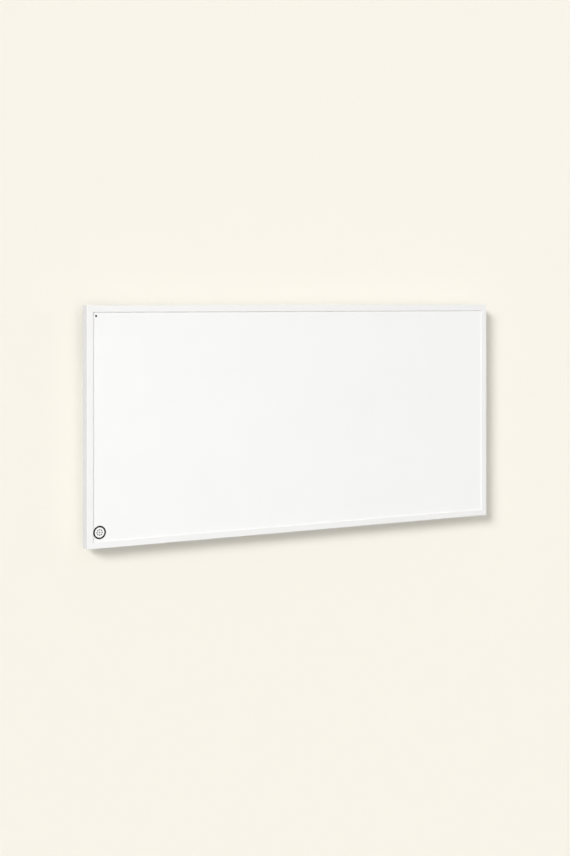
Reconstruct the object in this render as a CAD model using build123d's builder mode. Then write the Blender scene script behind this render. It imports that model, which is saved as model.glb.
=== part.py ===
from build123d import *
import os

# An infrared panel heater hung on its two wall brackets, in millimetres.
# X runs to the right as seen from the room, Z is up and the room is on the -Y side.
# The wall is the plane Y = 0. The origin lies on the wall in the middle of the four screw
# holes of the wall brackets, which is straight behind the middle of the panel.

# ---- Driving dimensions ----

# The panel as a whole
panel_width = 1195.0
panel_height = 595.0
panel_depth = 30.0  # from the face of the frame's lip to the back of the rear plate
wall_gap = 25.0  # from the rear plate to the wall

# Frame: an extrusion with a lip in front of the plate and a flange at the back
lip_width = 16.5
lip_thickness = 1.8
frame_wall = 1.6
flange_width = 14.0
flange_thickness = 1.5
outer_edge_radius = 1.4
lip_edge_radius = 0.7
mitre_gap = 0.1
cleat_leg = 46.0
cleat_width = 10.0
cleat_thickness = 2.0

# Layers between the lip and the rear plate, from the front
gasket_thickness = 1.2
gasket_setback = 2.0  # from the inner edge of the lip
plate_thickness = 0.8
plate_corner_radius = 2.0
sheet_thickness = 0.8  # each of the two insulating sheets of the heating element
strip_thickness = 0.4
foil_thickness = 0.3
rear_plate_thickness = 0.6
rear_plate_inset = 1.5  # from the outside of the frame
insulation_play = 0.5  # between the insulation and the frame's flange

# Heating element
element_margin = 36.0  # from the outside of the frame
busbar_margin = 6.0  # from the edge of the element's sheets
busbar_width = 12.0
busbar_split = 14.0  # between the live and the neutral busbar
strip_count = 12  # an even number, half of them on each busbar
strip_gap = 8.0
tab_height = 35.0  # of the lead's joint on each busbar, from the panel's middle

# Rear plate
bead_end_gap = 10.0  # of each bead's end, inside the ends of the hanger rails
bead_width = 14.0
bead_height = 1.2
middle_bead_count = 5
screw_line = 8.0  # from the outside of the frame to the line of the rear screws
screw_pitch = 180.0
corner_screw_reach = 32.0  # from the corner to its first screw

# Hanging
rail_to_box = 10.5  # from the ends of the hanger rails to the control box
rail_inset = 112.5  # of the rails' middle lines, from the top and bottom of the panel
rail_depth = 12.0
rail_thickness = 1.2
rail_flange = 10.0
crown_height = 32.0
slot_height = 14.0
slot_drop = 4.0  # of the slot's middle below the rail's
rivet_pitch = 95.0
rivet_end = 15.0  # from the end of a rail to its first rivets
bracket_inset = 110.0  # of each wall bracket's middle from the ends of the rails
bracket_width = 24.0
bracket_thickness = 2.0
bracket_bend_radius = 0.9
hook_rise = 10.0  # of a hook above the seat that carries the rail
hook_side_play = 2.0
hook_play = 1.0  # between a hook and the inside of its rail
seat_play = 0.2  # between a hook's seat and its slot's top edge
wall_hole_inset = 45.0  # of the wall screws' level from that of the rails
wall_hole_radius = 2.75

# Indicator
indicator_inset_x = 25.0  # from the left outside of the frame
indicator_inset_z = 26.0  # from the top outside of the frame
lens_radius = 2.7
lens_flange_radius = 4.2
lens_flange_thickness = 1.0
guide_radius = 2.4
led_size = 3.4
led_height = 1.6
led_gap = 0.4

# Control box behind the top left corner
box_width = 84.0
box_height = 120.0
box_inset_x = 13.0  # from the left outside of the frame
box_inset_z = 12.0  # from the top outside of the frame
box_wall_gap = 4.0  # from the lid to the wall
box_wall = 2.0
box_corner_radius = 5.0
box_gasket_thickness = 0.8
lid_thickness = 2.5
boss_inset = 5.0
boss_radius = 3.6

# Circuit board and what it carries
wiring_bay_width = 18.5  # from the board to the inside of the box's right wall
wiring_bay_height = 41.5  # from the bottom of the box to the board
board_thickness = 1.6
board_standoff = 3.5
board_edge_to_led = 4.5
standoff_radius = 2.6
standoff_inset = 4.0  # from the board's left, right and bottom edges
standoff_top_inset = 13.0  # from the board's top edge, clear of the indicator
relay_size = (19.0, 15.5, 10.0)  # along X, Z and Y, as is the next one
radio_module_size = (18.0, 22.0, 3.0)
power_module_height = 30.0  # along Z; its width fills the board up to the relay
power_module_depth = 9.0
module_gap = 4.0  # between the power module and the relay

# Terminal block, inside the box near the cable entry
terminal_size = (30.0, 12.0, 11.0)
terminal_inset = 27.0  # from the left outside of the box, clear of the switch's leads
terminal_rise = 21.5  # of its middle above the bottom of the box
terminal_pitch = 9.0
terminal_screw_radius = 2.2
terminal_wire_radius = 1.5

# Cable entry
cable_radius = 3.0
cable_play = 0.1
gland_across_flats = 15.0
gland_thread_radius = 6.0
gland_flange_height = 4.5
gland_spigot = 9.0
gland_pocket_radius = 4.9
locknut_height = 4.0
gland_cap_height = 12.5
gland_cap_end = 2.6

# Power switch in the left side of the box
switch_rise = 24.5  # of its middle above the bottom of the box
bezel_length = 18.0
bezel_width = 12.0
bezel_thickness = 1.5
switch_length = 15.4
switch_width = 9.4
switch_depth = 11.0
switch_wall = 1.2
switch_floor = 1.6
rocker_length = 10.4
rocker_side_play = 0.3
rocker_crown = 0.8
rocker_tilt = 10.0
pivot_depth = 3.5
pivot_radius = 1.0
pivot_play = 0.06
pivot_pin = 0.9
blade_length = 6.0
blade_width = 4.8
blade_thickness = 0.8
blade_pitch = 8.0

# Leads between the box and the element
lead_radius = 1.1
lead_bend = 4.0
tight_bend = 1.3  # of the short leads inside the box
lead_pair = 1.5  # of each lead from the middle of the grommet, sideways and up
grommet_radius = 5.5
grommet_bore = 4.0
grommet_lip = 1.2
grommet_right = 8.5  # of the grommet from the inside of the box's right wall
grommet_rise = 56.5  # of the grommet above the bottom of the box
channel_margin = 12.0  # of the insulation's lead channel, round what lies in it
cutout_rise = 90.0  # of the thermal cutout above the panel's middle
cutout_radius = 8.0
cutout_height = 8.0
cutout_blade = 8.0

# Earth
earth_rise = 15.5  # of the stud above the bottom of the box
stud_radius = 1.95
stud_length = 12.0
earth_nut_flats = 7.0
earth_nut_height = 3.2
lug_radius = 4.0
lug_thickness = 0.8

# Fasteners
plate_screw_radius = 1.6
plate_screw_length = 5.0
screw_head_radius = 3.2
screw_head_height = 2.0
box_screw_radius = 1.4
box_screw_length = 8.0
box_screw_head_radius = 2.7
box_screw_head_height = 1.5
recess_share = 0.55  # of a screw head's radius and height, for its cross recess
recess_width = 0.8
rivet_radius = 1.6
rivet_head_radius = 3.2
rivet_head_height = 1.2
rivet_tail_radius = 2.4
rivet_tail_height = 1.5
sheet_clearance = 1.0  # between the edge of a sheet and what surrounds it
hole_clearance = 0.15  # round a screw, rivet or stud

# ---- Depths, from the wall at Y = 0 towards the room ----

rear_face_y = -wall_gap
lip_face_y = rear_face_y - panel_depth
lip_back_y = lip_face_y + lip_thickness
plate_front_y = lip_back_y + gasket_thickness
plate_back_y = plate_front_y + plate_thickness
strip_front_y = plate_back_y + sheet_thickness
strip_back_y = strip_front_y + strip_thickness
foil_front_y = strip_back_y + sheet_thickness
insulation_front_y = foil_front_y + foil_thickness
rear_plate_front_y = rear_face_y - rear_plate_thickness
flange_front_y = rear_plate_front_y - flange_thickness
insulation_back_y = flange_front_y - insulation_play

floor_back_y = rear_face_y + box_wall
lid_back_y = -box_wall_gap
lid_front_y = lid_back_y - lid_thickness
rim_y = lid_front_y - box_gasket_thickness
board_front_y = floor_back_y + board_standoff
board_back_y = board_front_y + board_thickness
box_middle_y = (floor_back_y + rim_y) / 2

# ---- Places across the panel ----

half_width = panel_width / 2
half_height = panel_height / 2
inner_width = panel_width - 2 * (frame_wall + sheet_clearance)
inner_height = panel_height - 2 * (frame_wall + sheet_clearance)
element_width = panel_width - 2 * element_margin
element_height = panel_height - 2 * element_margin

indicator_x = indicator_inset_x - half_width
indicator_z = half_height - indicator_inset_z

box_left = box_inset_x - half_width
box_right = box_left + box_width
box_x = (box_left + box_right) / 2
box_top = half_height - box_inset_z
box_bottom = box_top - box_height
box_z = (box_top + box_bottom) / 2

board_left = indicator_x - board_edge_to_led
board_right = box_right - box_wall - wiring_bay_width
board_width = board_right - board_left
board_x = (board_left + board_right) / 2
board_top = indicator_z + board_edge_to_led
board_bottom = box_bottom + wiring_bay_height
board_height = board_top - board_bottom
board_z = (board_top + board_bottom) / 2

terminal_x = box_left + terminal_inset + terminal_size[0] / 2
terminal_z = box_bottom + terminal_rise
switch_z = box_bottom + switch_rise
grommet_x = box_right - box_wall - grommet_right
grommet_z = box_bottom + grommet_rise
earth_z = box_bottom + earth_rise

beside_board = (board_right + grommet_x) / 2 - box_screw_head_radius / 2
box_screw_places = [
    (grommet_x, board_top - 4 * box_screw_head_radius),
    (beside_board, board_bottom - 2 * box_screw_head_radius - sheet_clearance),
]

busbar_x = element_width / 2 - busbar_margin - busbar_width / 2
busbar_top = element_height / 2 - busbar_margin
live_lead_x = grommet_x - lead_pair
neutral_lead_x = grommet_x + lead_pair

rail_length = -2 * (box_right + rail_to_box)
rail_height = half_height - rail_inset
rail_half = crown_height / 2 + rail_flange
bracket_spread = rail_length / 2 - bracket_inset
wall_hole_height = rail_height - wall_hole_inset
bead_length = rail_length - 2 * bead_end_gap
bead_pitch = 2 * (rail_height - rail_half) / middle_bead_count
outer_bead_spread = rail_height + rail_half + half_height

crown_back_y = rear_face_y + rail_depth
crown_front_y = crown_back_y - rail_thickness
hook_back_y = crown_front_y - hook_play
seat_offset = slot_height / 2 - slot_drop - seat_play  # of a hook's seat above its rail

# ---- Helpers ----


def room_side(y):
    """The sketch plane at depth y: X to the right, Z up, and solids grow towards the room."""
    return Plane.XZ.offset(-y)


def towards_wall(x, y, z):
    """A place on a rear surface, with its own Z pointing at the wall."""
    return Location(Plane(origin=(x, y, z), x_dir=(1, 0, 0), z_dir=(0, 1, 0)))


def save(piece, name):
    """Labels a finished piece and writes it to its own file."""
    piece.part.label = name
    export_step(piece.part, f"parts/{name}.step")


def headed_screw(shank_radius, shank_length, head_radius, head_height, sunk=False):
    """A screw along Z. A pan head stands on Z = 0, and a countersunk head ends there."""
    neck = -head_height if sunk else 0
    tip = neck - shank_length
    shank = [(0, tip), (shank_radius / 2, tip), (shank_radius, tip + shank_radius)]
    pan_head = [
        (head_radius, 0),
        (head_radius, head_height / 2),
        (head_radius * 0.7, head_height),
        (0, head_height),
    ]
    sunk_head = [(head_radius, 0), (0, 0)]
    top = 0 if sunk else head_height
    recess_length = 2 * head_radius * recess_share
    with BuildPart() as screw:
        with BuildSketch(Plane.XZ):
            with BuildLine():
                Polyline(
                    *shank, (shank_radius, neck), *(sunk_head if sunk else pan_head), close=True
                )
            make_face()
        revolve(axis=Axis.Z)
        with BuildSketch(Plane.XY.offset(top)):
            Rectangle(recess_length, recess_width)
            Rectangle(recess_width, recess_length)
        extrude(amount=-head_height * recess_share, mode=Mode.SUBTRACT)
    return screw.part


def lead(points, radius=lead_radius, bend=lead_bend):
    """A round insulated lead that follows straight runs joined by arcs."""
    with BuildPart() as wire:
        with BuildLine() as route:
            FilletPolyline(*points, radius=bend)
        with BuildSketch(Plane(origin=route.line @ 0, z_dir=route.line % 0)):
            Circle(radius)
        sweep()
    return wire.part


os.makedirs("parts", exist_ok=True)

# ---- Frame ----


def screw_stations(length):
    """Distances from a side's middle to its screws: one at each end, the rest evenly between."""
    last = length / 2 - corner_screw_reach
    spaces = max(1, round(2 * last / screw_pitch))
    return [last * (2 * i / spaces - 1) for i in range(spaces + 1)]


corner_places = []
edge_places = []
frame_sides = (
    ("frame_top", Vector(0, 0, -1), half_height, panel_width),
    ("frame_bottom", Vector(0, 0, 1), half_height, panel_width),
    ("frame_left", Vector(1, 0, 0), half_width, panel_height),
    ("frame_right", Vector(-1, 0, 0), half_width, panel_height),
)
for side_name, inward, reach, length in frame_sides:
    run = inward.cross(Vector(0, 1, 0))
    front_edge = Vector(0, lip_face_y, 0) - inward * reach
    flange_back = rear_plate_front_y - lip_face_y
    places = [
        inward * (screw_line - reach) + run * station for station in screw_stations(length)
    ]
    corner_places += [places[0], places[-1]]
    edge_places += places[1:-1]
    with BuildPart() as frame_side:
        with BuildSketch(Plane(origin=front_edge, x_dir=inward, z_dir=run)) as section:
            with BuildLine():
                Polyline(
                    (0, 0),
                    (lip_width, 0),
                    (lip_width, lip_thickness),
                    (frame_wall, lip_thickness),
                    (frame_wall, flange_back - flange_thickness),
                    (flange_width, flange_back - flange_thickness),
                    (flange_width, flange_back),
                    (0, flange_back),
                    close=True,
                )
            make_face()
            fillet(section.vertices().group_by(Axis.X)[0], outer_edge_radius)
            fillet(section.vertices().group_by(Axis.X)[-1], lip_edge_radius)
        extrude(amount=length / 2, both=True)
        for end in (1, -1):
            corner = front_edge + run * (end * (length - mitre_gap) / 2)
            split(bisect_by=Plane(origin=corner, z_dir=inward + run * end), keep=Keep.BOTTOM)
        with Locations(*[towards_wall(p.X, rear_plate_front_y, p.Z) for p in places]):
            Hole(plate_screw_radius + hole_clearance, depth=flange_thickness)
    save(frame_side, side_name)

cleat_reach_x = half_width - frame_wall - hole_clearance
cleat_reach_z = half_height - frame_wall - hole_clearance
with BuildPart() as corner_cleats:
    with BuildSketch(room_side(flange_front_y)):
        with GridLocations(2 * cleat_reach_x - cleat_leg, 2 * cleat_reach_z - cleat_leg, 2, 2):
            Rectangle(cleat_leg, cleat_leg)
        Rectangle(
            2 * (cleat_reach_x - cleat_width), 2 * (cleat_reach_z - cleat_width), mode=Mode.SUBTRACT
        )
    extrude(amount=cleat_thickness)
    with Locations(*[towards_wall(p.X, flange_front_y, p.Z) for p in corner_places]):
        Hole(plate_screw_radius + hole_clearance, depth=cleat_thickness)
save(corner_cleats, "corner_cleats")

plate_screw = headed_screw(
    plate_screw_radius, plate_screw_length, screw_head_radius, screw_head_height
)
for screws_name, places in (("corner_screws", corner_places), ("rear_plate_screws", edge_places)):
    with BuildPart() as plate_screws:
        with Locations(*[towards_wall(p.X, rear_face_y, p.Z) for p in places]):
            add(plate_screw)
    save(plate_screws, screws_name)

# ---- Front plate, its gasket and the felt behind its edge ----

with BuildPart() as front_plate:
    with BuildSketch(room_side(plate_back_y)):
        RectangleRounded(inner_width, inner_height, plate_corner_radius)
        with Locations((indicator_x, indicator_z)):
            Circle(lens_radius + hole_clearance, mode=Mode.SUBTRACT)
    extrude(amount=plate_thickness)
save(front_plate, "front_plate")


def edge_strips(y, thickness, outer_inset, inner_inset):
    """Four strips that lie end to end round the panel, between two insets from its outside."""
    width = inner_inset - outer_inset
    with BuildPart() as strips:
        with BuildSketch(room_side(y)):
            with GridLocations(0, panel_height - outer_inset - inner_inset, 1, 2):
                Rectangle(panel_width - 2 * outer_inset, width)
        extrude(amount=thickness)
        with BuildSketch(room_side(y)):
            with GridLocations(panel_width - outer_inset - inner_inset, 0, 2, 1):
                Rectangle(width, panel_height - 2 * inner_inset - 2 * mitre_gap)
        extrude(amount=thickness)
        with Locations(towards_wall(indicator_x, y, indicator_z)):
            Hole(lens_flange_radius + hole_clearance, depth=thickness)
    return strips


strip_outer_inset = frame_wall + sheet_clearance
plate_gasket = edge_strips(
    plate_front_y, gasket_thickness, strip_outer_inset, lip_width - gasket_setback
)
save(plate_gasket, "plate_gasket")

edge_felt = edge_strips(
    insulation_front_y,
    insulation_front_y - plate_back_y,
    strip_outer_inset,
    element_margin - sheet_clearance,
)
save(edge_felt, "edge_felt")

# ---- Heating element ----

with BuildPart() as element_front_sheet:
    with BuildSketch(room_side(strip_front_y)):
        Rectangle(element_width, element_height)
    extrude(amount=sheet_thickness)
save(element_front_sheet, "element_front_sheet")

strip_pitch = (2 * busbar_top - busbar_split) / strip_count
with BuildPart() as heating_strips:
    with BuildSketch(room_side(strip_back_y)):
        for half in (1, -1):
            with Locations((0, half * (busbar_top + busbar_split / 2) / 2)):
                with GridLocations(0, strip_pitch, 1, strip_count // 2):
                    Rectangle(2 * busbar_x - busbar_width, strip_pitch - strip_gap)
    extrude(amount=strip_thickness)
save(heating_strips, "heating_strips")

half_busbar = busbar_top - busbar_split / 2
for busbar_name, side, middle, busbar_length in (
    ("live_busbar", -1, busbar_top - half_busbar / 2, half_busbar),
    ("neutral_busbar", -1, half_busbar / 2 - busbar_top, half_busbar),
    ("link_busbar", 1, 0, 2 * busbar_top),
):
    with BuildPart() as busbar:
        with BuildSketch(room_side(strip_back_y)):
            with Locations((side * busbar_x, middle)):
                Rectangle(busbar_width, busbar_length)
        extrude(amount=strip_thickness)
    save(busbar, busbar_name)

joint_places = [(-busbar_x, tab_height), (-busbar_x, -tab_height)]
joint_hole_radius = lead_radius + sheet_clearance
for layer_name, back_y, thickness in (
    ("element_back_sheet", foil_front_y, sheet_thickness),
    ("reflector_foil", insulation_front_y, foil_thickness),
):
    with BuildPart() as layer:
        with BuildSketch(room_side(back_y)):
            Rectangle(element_width, element_height)
            with Locations(*joint_places):
                Circle(joint_hole_radius, mode=Mode.SUBTRACT)
        extrude(amount=thickness)
    save(layer, layer_name)

# ---- Insulation, with a channel for the leads and room for the corner cleats ----

channel_left = -busbar_x - channel_margin
channel_right = grommet_x + channel_margin
channel_top = grommet_z + channel_margin
channel_bottom = -tab_height - channel_margin
cleat_room = cleat_leg + frame_wall + sheet_clearance
with BuildPart() as insulation_board:
    with BuildSketch(room_side(insulation_back_y)):
        Rectangle(inner_width, inner_height)
        with Locations(((channel_left + channel_right) / 2, (channel_top + channel_bottom) / 2)):
            Rectangle(
                channel_right - channel_left, channel_top - channel_bottom, mode=Mode.SUBTRACT
            )
        with Locations((indicator_x, indicator_z)):
            Circle(guide_radius + sheet_clearance, mode=Mode.SUBTRACT)
    extrude(amount=insulation_back_y - insulation_front_y)
    with BuildSketch(room_side(insulation_back_y)):
        with GridLocations(panel_width - cleat_room, panel_height - cleat_room, 2, 2):
            Rectangle(cleat_room, cleat_room)
    extrude(amount=cleat_thickness + sheet_clearance, mode=Mode.SUBTRACT)
    with Locations(*[towards_wall(p.X, insulation_back_y, p.Z) for p in edge_places]):
        Hole(plate_screw_radius + sheet_clearance, depth=plate_screw_length)
save(insulation_board, "insulation_board")

# ---- Rear plate with pressed beads ----

rail_places = []
rivet_reach = rail_length / 2 - rivet_end
rivet_spaces = max(1, round(2 * rivet_reach / rivet_pitch))
rivet_line = (crown_height + rail_flange) / 2
for rail_z in (rail_height, -rail_height):
    for row in (rivet_line, -rivet_line):
        for i in range(rivet_spaces + 1):
            rivet_x = rivet_reach * (2 * i / rivet_spaces - 1)
            rail_places.append((rivet_x, rail_z + row))

with BuildPart() as rear_plate:
    with BuildSketch(room_side(rear_face_y + bead_height)):
        with GridLocations(0, bead_pitch, 1, middle_bead_count):
            SlotOverall(bead_length, bead_width)
        with GridLocations(0, outer_bead_spread, 1, 2):
            SlotOverall(bead_length, bead_width)
    extrude(amount=bead_height)
    fillet(rear_plate.faces().group_by(Axis.Y)[-1].edges(), bead_height * 0.8)
    with BuildSketch(room_side(rear_face_y)):
        Rectangle(panel_width - 2 * rear_plate_inset, panel_height - 2 * rear_plate_inset)
    extrude(amount=rear_plate_thickness)
    with BuildSketch(room_side(rear_face_y + bead_height - rear_plate_thickness)):
        with GridLocations(0, bead_pitch, 1, middle_bead_count):
            SlotOverall(bead_length - 2 * bead_height, bead_width - 2 * bead_height)
        with GridLocations(0, outer_bead_spread, 1, 2):
            SlotOverall(bead_length - 2 * bead_height, bead_width - 2 * bead_height)
    extrude(amount=bead_height, mode=Mode.SUBTRACT)
    with Locations(
        *[towards_wall(p.X, rear_face_y, p.Z) for p in corner_places + edge_places]
    ):
        Hole(plate_screw_radius + hole_clearance, depth=rear_plate_thickness)
    with Locations(*[towards_wall(x, rear_face_y, z) for x, z in rail_places]):
        Hole(rivet_radius + hole_clearance, depth=rear_plate_thickness)
    with Locations(towards_wall(indicator_x, rear_face_y, indicator_z)):
        Hole(guide_radius + sheet_clearance, depth=rear_plate_thickness)
    with Locations(towards_wall(grommet_x, rear_face_y, grommet_z)):
        Hole(grommet_radius, depth=rear_plate_thickness)
    with Locations(*[towards_wall(x, rear_face_y, z) for x, z in box_screw_places]):
        Hole(box_screw_radius + hole_clearance, depth=rear_plate_thickness)
save(rear_plate, "rear_plate")

# ---- Hanger rails: top-hat sections whose slots drop over the wall brackets' hooks ----

half_crown = crown_height / 2
flange_back_y = rear_face_y + rail_thickness
for rail_name, rail_z in (
    ("hanger_rail_upper", rail_height),
    ("hanger_rail_lower", -rail_height),
):
    with BuildPart() as hanger_rail:
        with BuildSketch(Plane.YZ) as section:
            with BuildLine():
                Polyline(
                    (rear_face_y, rail_z - rail_half),
                    (flange_back_y, rail_z - rail_half),
                    (flange_back_y, rail_z - half_crown),
                    (crown_back_y, rail_z - half_crown),
                    (crown_back_y, rail_z + half_crown),
                    (flange_back_y, rail_z + half_crown),
                    (flange_back_y, rail_z + rail_half),
                    (rear_face_y, rail_z + rail_half),
                    (rear_face_y, rail_z + half_crown - rail_thickness),
                    (crown_front_y, rail_z + half_crown - rail_thickness),
                    (crown_front_y, rail_z - half_crown + rail_thickness),
                    (rear_face_y, rail_z - half_crown + rail_thickness),
                    close=True,
                )
            make_face()
            fillet(section.vertices().group_by(Axis.X)[-1], rail_thickness)
        extrude(amount=rail_length / 2, both=True)
        with BuildSketch(room_side(crown_back_y)):
            with Locations((0, rail_z - slot_drop)):
                with GridLocations(2 * bracket_spread, 0, 2, 1):
                    Rectangle(bracket_width + 2 * hook_side_play, slot_height)
        extrude(amount=rail_thickness, mode=Mode.SUBTRACT)
        rivet_holes = [(x, z) for x, z in rail_places if abs(z - rail_z) < rail_half]
        with Locations(*[towards_wall(x, flange_back_y, z) for x, z in rivet_holes]):
            Hole(rivet_radius + hole_clearance, depth=rail_thickness)
    save(hanger_rail, rail_name)

grip = rail_thickness + rear_plate_thickness
with BuildPart() as rivet:
    with BuildSketch(Plane.XZ):
        with BuildLine():
            Polyline(
                (0, rivet_head_height),
                (0, -grip - rivet_tail_height),
                (rivet_tail_radius, -grip - rivet_tail_height),
                (rivet_tail_radius, -grip),
                (rivet_radius, -grip),
                (rivet_radius, 0),
                (rivet_head_radius, 0),
                (rivet_head_radius * 0.8, rivet_head_height * 0.7),
                (rivet_head_radius * 0.4, rivet_head_height),
                close=True,
            )
        make_face()
    revolve(axis=Axis.Z)

with BuildPart() as rail_rivets:
    with Locations(*[towards_wall(x, flange_back_y, z) for x, z in rail_places]):
        add(rivet.part)
save(rail_rivets, "rail_rivets")

# ---- Wall brackets: strips with a hook bent out at each end ----

upper_seat = rail_height + seat_offset
lower_seat = -rail_height + seat_offset
hook_front_y = hook_back_y - bracket_thickness
for bracket_name, bracket_x in (
    ("wall_bracket_left", -bracket_spread),
    ("wall_bracket_right", bracket_spread),
):
    with BuildPart() as wall_bracket:
        with BuildSketch(Plane.YZ.offset(bracket_x)) as section:
            with BuildLine():
                Polyline(
                    (0, lower_seat - bracket_thickness),
                    (hook_front_y, lower_seat - bracket_thickness),
                    (hook_front_y, lower_seat + hook_rise),
                    (hook_back_y, lower_seat + hook_rise),
                    (hook_back_y, lower_seat),
                    (-bracket_thickness, lower_seat),
                    (-bracket_thickness, upper_seat - bracket_thickness),
                    (hook_front_y, upper_seat - bracket_thickness),
                    (hook_front_y, upper_seat + hook_rise),
                    (hook_back_y, upper_seat + hook_rise),
                    (hook_back_y, upper_seat),
                    (0, upper_seat),
                    close=True,
                )
            make_face()
            fillet(section.vertices(), bracket_bend_radius)
        extrude(amount=bracket_width / 2, both=True)
        with Locations(
            towards_wall(bracket_x, 0, wall_hole_height),
            towards_wall(bracket_x, 0, -wall_hole_height),
        ):
            Hole(wall_hole_radius, depth=bracket_thickness)
    save(wall_bracket, bracket_name)

# ---- Indicator ----

lens_back_y = plate_back_y + lens_flange_thickness
with BuildPart() as indicator_lens:
    with BuildSketch(room_side(lens_back_y)):
        with Locations((indicator_x, indicator_z)):
            Circle(lens_flange_radius)
    extrude(amount=lens_flange_thickness)
    with BuildSketch(room_side(plate_back_y)):
        with Locations((indicator_x, indicator_z)):
            Circle(lens_radius)
    extrude(amount=plate_thickness)
save(indicator_lens, "indicator_lens")

led_front_y = board_front_y - led_height
guide_back_y = led_front_y - led_gap
with BuildPart() as light_guide:
    with BuildSketch(room_side(guide_back_y)):
        with Locations((indicator_x, indicator_z)):
            Circle(guide_radius)
    extrude(amount=guide_back_y - lens_back_y)
save(light_guide, "light_guide")

with BuildPart() as indicator_led:
    with BuildSketch(room_side(board_front_y)):
        with Locations((indicator_x, indicator_z)):
            Rectangle(led_size, led_size)
    extrude(amount=led_height)
    chamfer(indicator_led.faces().sort_by(Axis.Y)[0].edges(), led_height / 4)
save(indicator_led, "indicator_led")

# ---- Control box ----

boss_places = [
    (box_x + side * (box_width / 2 - boss_inset), box_z + end * (box_height / 2 - boss_inset))
    for side in (-1, 1)
    for end in (-1, 1)
]
standoff_levels = (board_bottom + standoff_inset, board_top - standoff_top_inset)
standoff_z = sum(standoff_levels) / 2
standoff_places = [
    (board_x + side * (board_width / 2 - standoff_inset), z)
    for side in (-1, 1)
    for z in standoff_levels
]
base_depth = rim_y - rear_face_y
with BuildPart() as control_box:
    with BuildSketch(room_side(rim_y)):
        with Locations((box_x, box_z)):
            RectangleRounded(box_width, box_height, box_corner_radius)
    extrude(amount=base_depth)
    with BuildSketch(room_side(rim_y)):
        with Locations((box_x, box_z)):
            RectangleRounded(
                box_width - 2 * box_wall, box_height - 2 * box_wall, box_corner_radius - box_wall
            )
    extrude(amount=base_depth - box_wall, mode=Mode.SUBTRACT)
    with BuildSketch(room_side(rim_y)):
        with Locations(*boss_places):
            Circle(boss_radius)
    extrude(amount=base_depth - box_wall)
    with BuildSketch(room_side(board_front_y)):
        with Locations(*standoff_places):
            Circle(standoff_radius)
    extrude(amount=board_standoff)
    with Locations(*[towards_wall(x, rim_y, z) for x, z in boss_places]):
        Hole(box_screw_radius + hole_clearance, depth=box_screw_length)
    with Locations(*[towards_wall(x, board_front_y, z) for x, z in standoff_places]):
        Hole(box_screw_radius + hole_clearance, depth=board_standoff)
    with Locations(*[towards_wall(x, floor_back_y, z) for x, z in box_screw_places]):
        Hole(box_screw_radius + hole_clearance, depth=box_wall)
    with Locations(towards_wall(indicator_x, floor_back_y, indicator_z)):
        Hole(guide_radius + hole_clearance, depth=box_wall)
    with Locations(towards_wall(grommet_x, floor_back_y, grommet_z)):
        Hole(grommet_radius, depth=box_wall)
    with Locations(towards_wall(grommet_x, floor_back_y, earth_z)):
        Hole(stud_radius + hole_clearance, depth=box_wall)
    with BuildSketch(Plane.XY.offset(box_bottom)):
        with Locations((box_x, box_middle_y)):
            Circle(gland_thread_radius + hole_clearance)
    extrude(amount=box_wall, mode=Mode.SUBTRACT)
    with BuildSketch(Plane.YZ.offset(box_left)):
        with Locations((box_middle_y, switch_z)):
            Rectangle(switch_width + 2 * hole_clearance, switch_length + 2 * hole_clearance)
    extrude(amount=box_wall, mode=Mode.SUBTRACT)
save(control_box, "control_box")

with BuildPart() as box_gasket:
    with BuildSketch(room_side(lid_front_y)):
        with Locations((box_x, box_z)):
            RectangleRounded(box_width, box_height, box_corner_radius)
            RectangleRounded(
                box_width - 2 * box_wall,
                box_height - 2 * box_wall,
                box_corner_radius - box_wall,
                mode=Mode.SUBTRACT,
            )
        with Locations(*boss_places):
            Circle(boss_radius)
            Circle(box_screw_radius + hole_clearance, mode=Mode.SUBTRACT)
    extrude(amount=box_gasket_thickness)
save(box_gasket, "box_gasket")

with BuildPart() as box_lid:
    with BuildSketch(room_side(lid_back_y)):
        with Locations((box_x, box_z)):
            RectangleRounded(box_width, box_height, box_corner_radius)
    extrude(amount=lid_thickness)
    fillet(box_lid.faces().sort_by(Axis.Y)[-1].edges(), lid_thickness / 3)
    with Locations(*[towards_wall(x, lid_back_y, z) for x, z in boss_places]):
        CounterSinkHole(
            box_screw_radius + hole_clearance,
            box_screw_head_radius + hole_clearance,
            depth=lid_thickness,
            counter_sink_angle=90,
        )
save(box_lid, "box_lid")

sunk_head_height = box_screw_head_radius - box_screw_radius
lid_screw = headed_screw(
    box_screw_radius, box_screw_length, box_screw_head_radius, sunk_head_height, sunk=True
)
with BuildPart() as lid_screws:
    with Locations(*[towards_wall(x, lid_back_y, z) for x, z in boss_places]):
        add(lid_screw)
save(lid_screws, "lid_screws")

box_screw = headed_screw(
    box_screw_radius, box_wall + rear_plate_thickness, box_screw_head_radius, box_screw_head_height
)
with BuildPart() as box_screws:
    with Locations(*[towards_wall(x, floor_back_y, z) for x, z in box_screw_places]):
        add(box_screw)
save(box_screws, "box_screws")

# ---- Circuit board ----

with BuildPart() as control_board:
    with BuildSketch(room_side(board_back_y)):
        with Locations((board_x, board_z)):
            RectangleRounded(board_width, board_height, hole_clearance * 8)
        with Locations(*standoff_places):
            Circle(box_screw_radius + hole_clearance, mode=Mode.SUBTRACT)
    extrude(amount=board_thickness)
save(control_board, "control_board")

board_screw = headed_screw(
    box_screw_radius, board_thickness + board_standoff, box_screw_head_radius, box_screw_head_height
)
with BuildPart() as board_screws:
    with Locations(*[towards_wall(x, board_back_y, z) for x, z in standoff_places]):
        add(board_screw)
save(board_screws, "board_screws")

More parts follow.
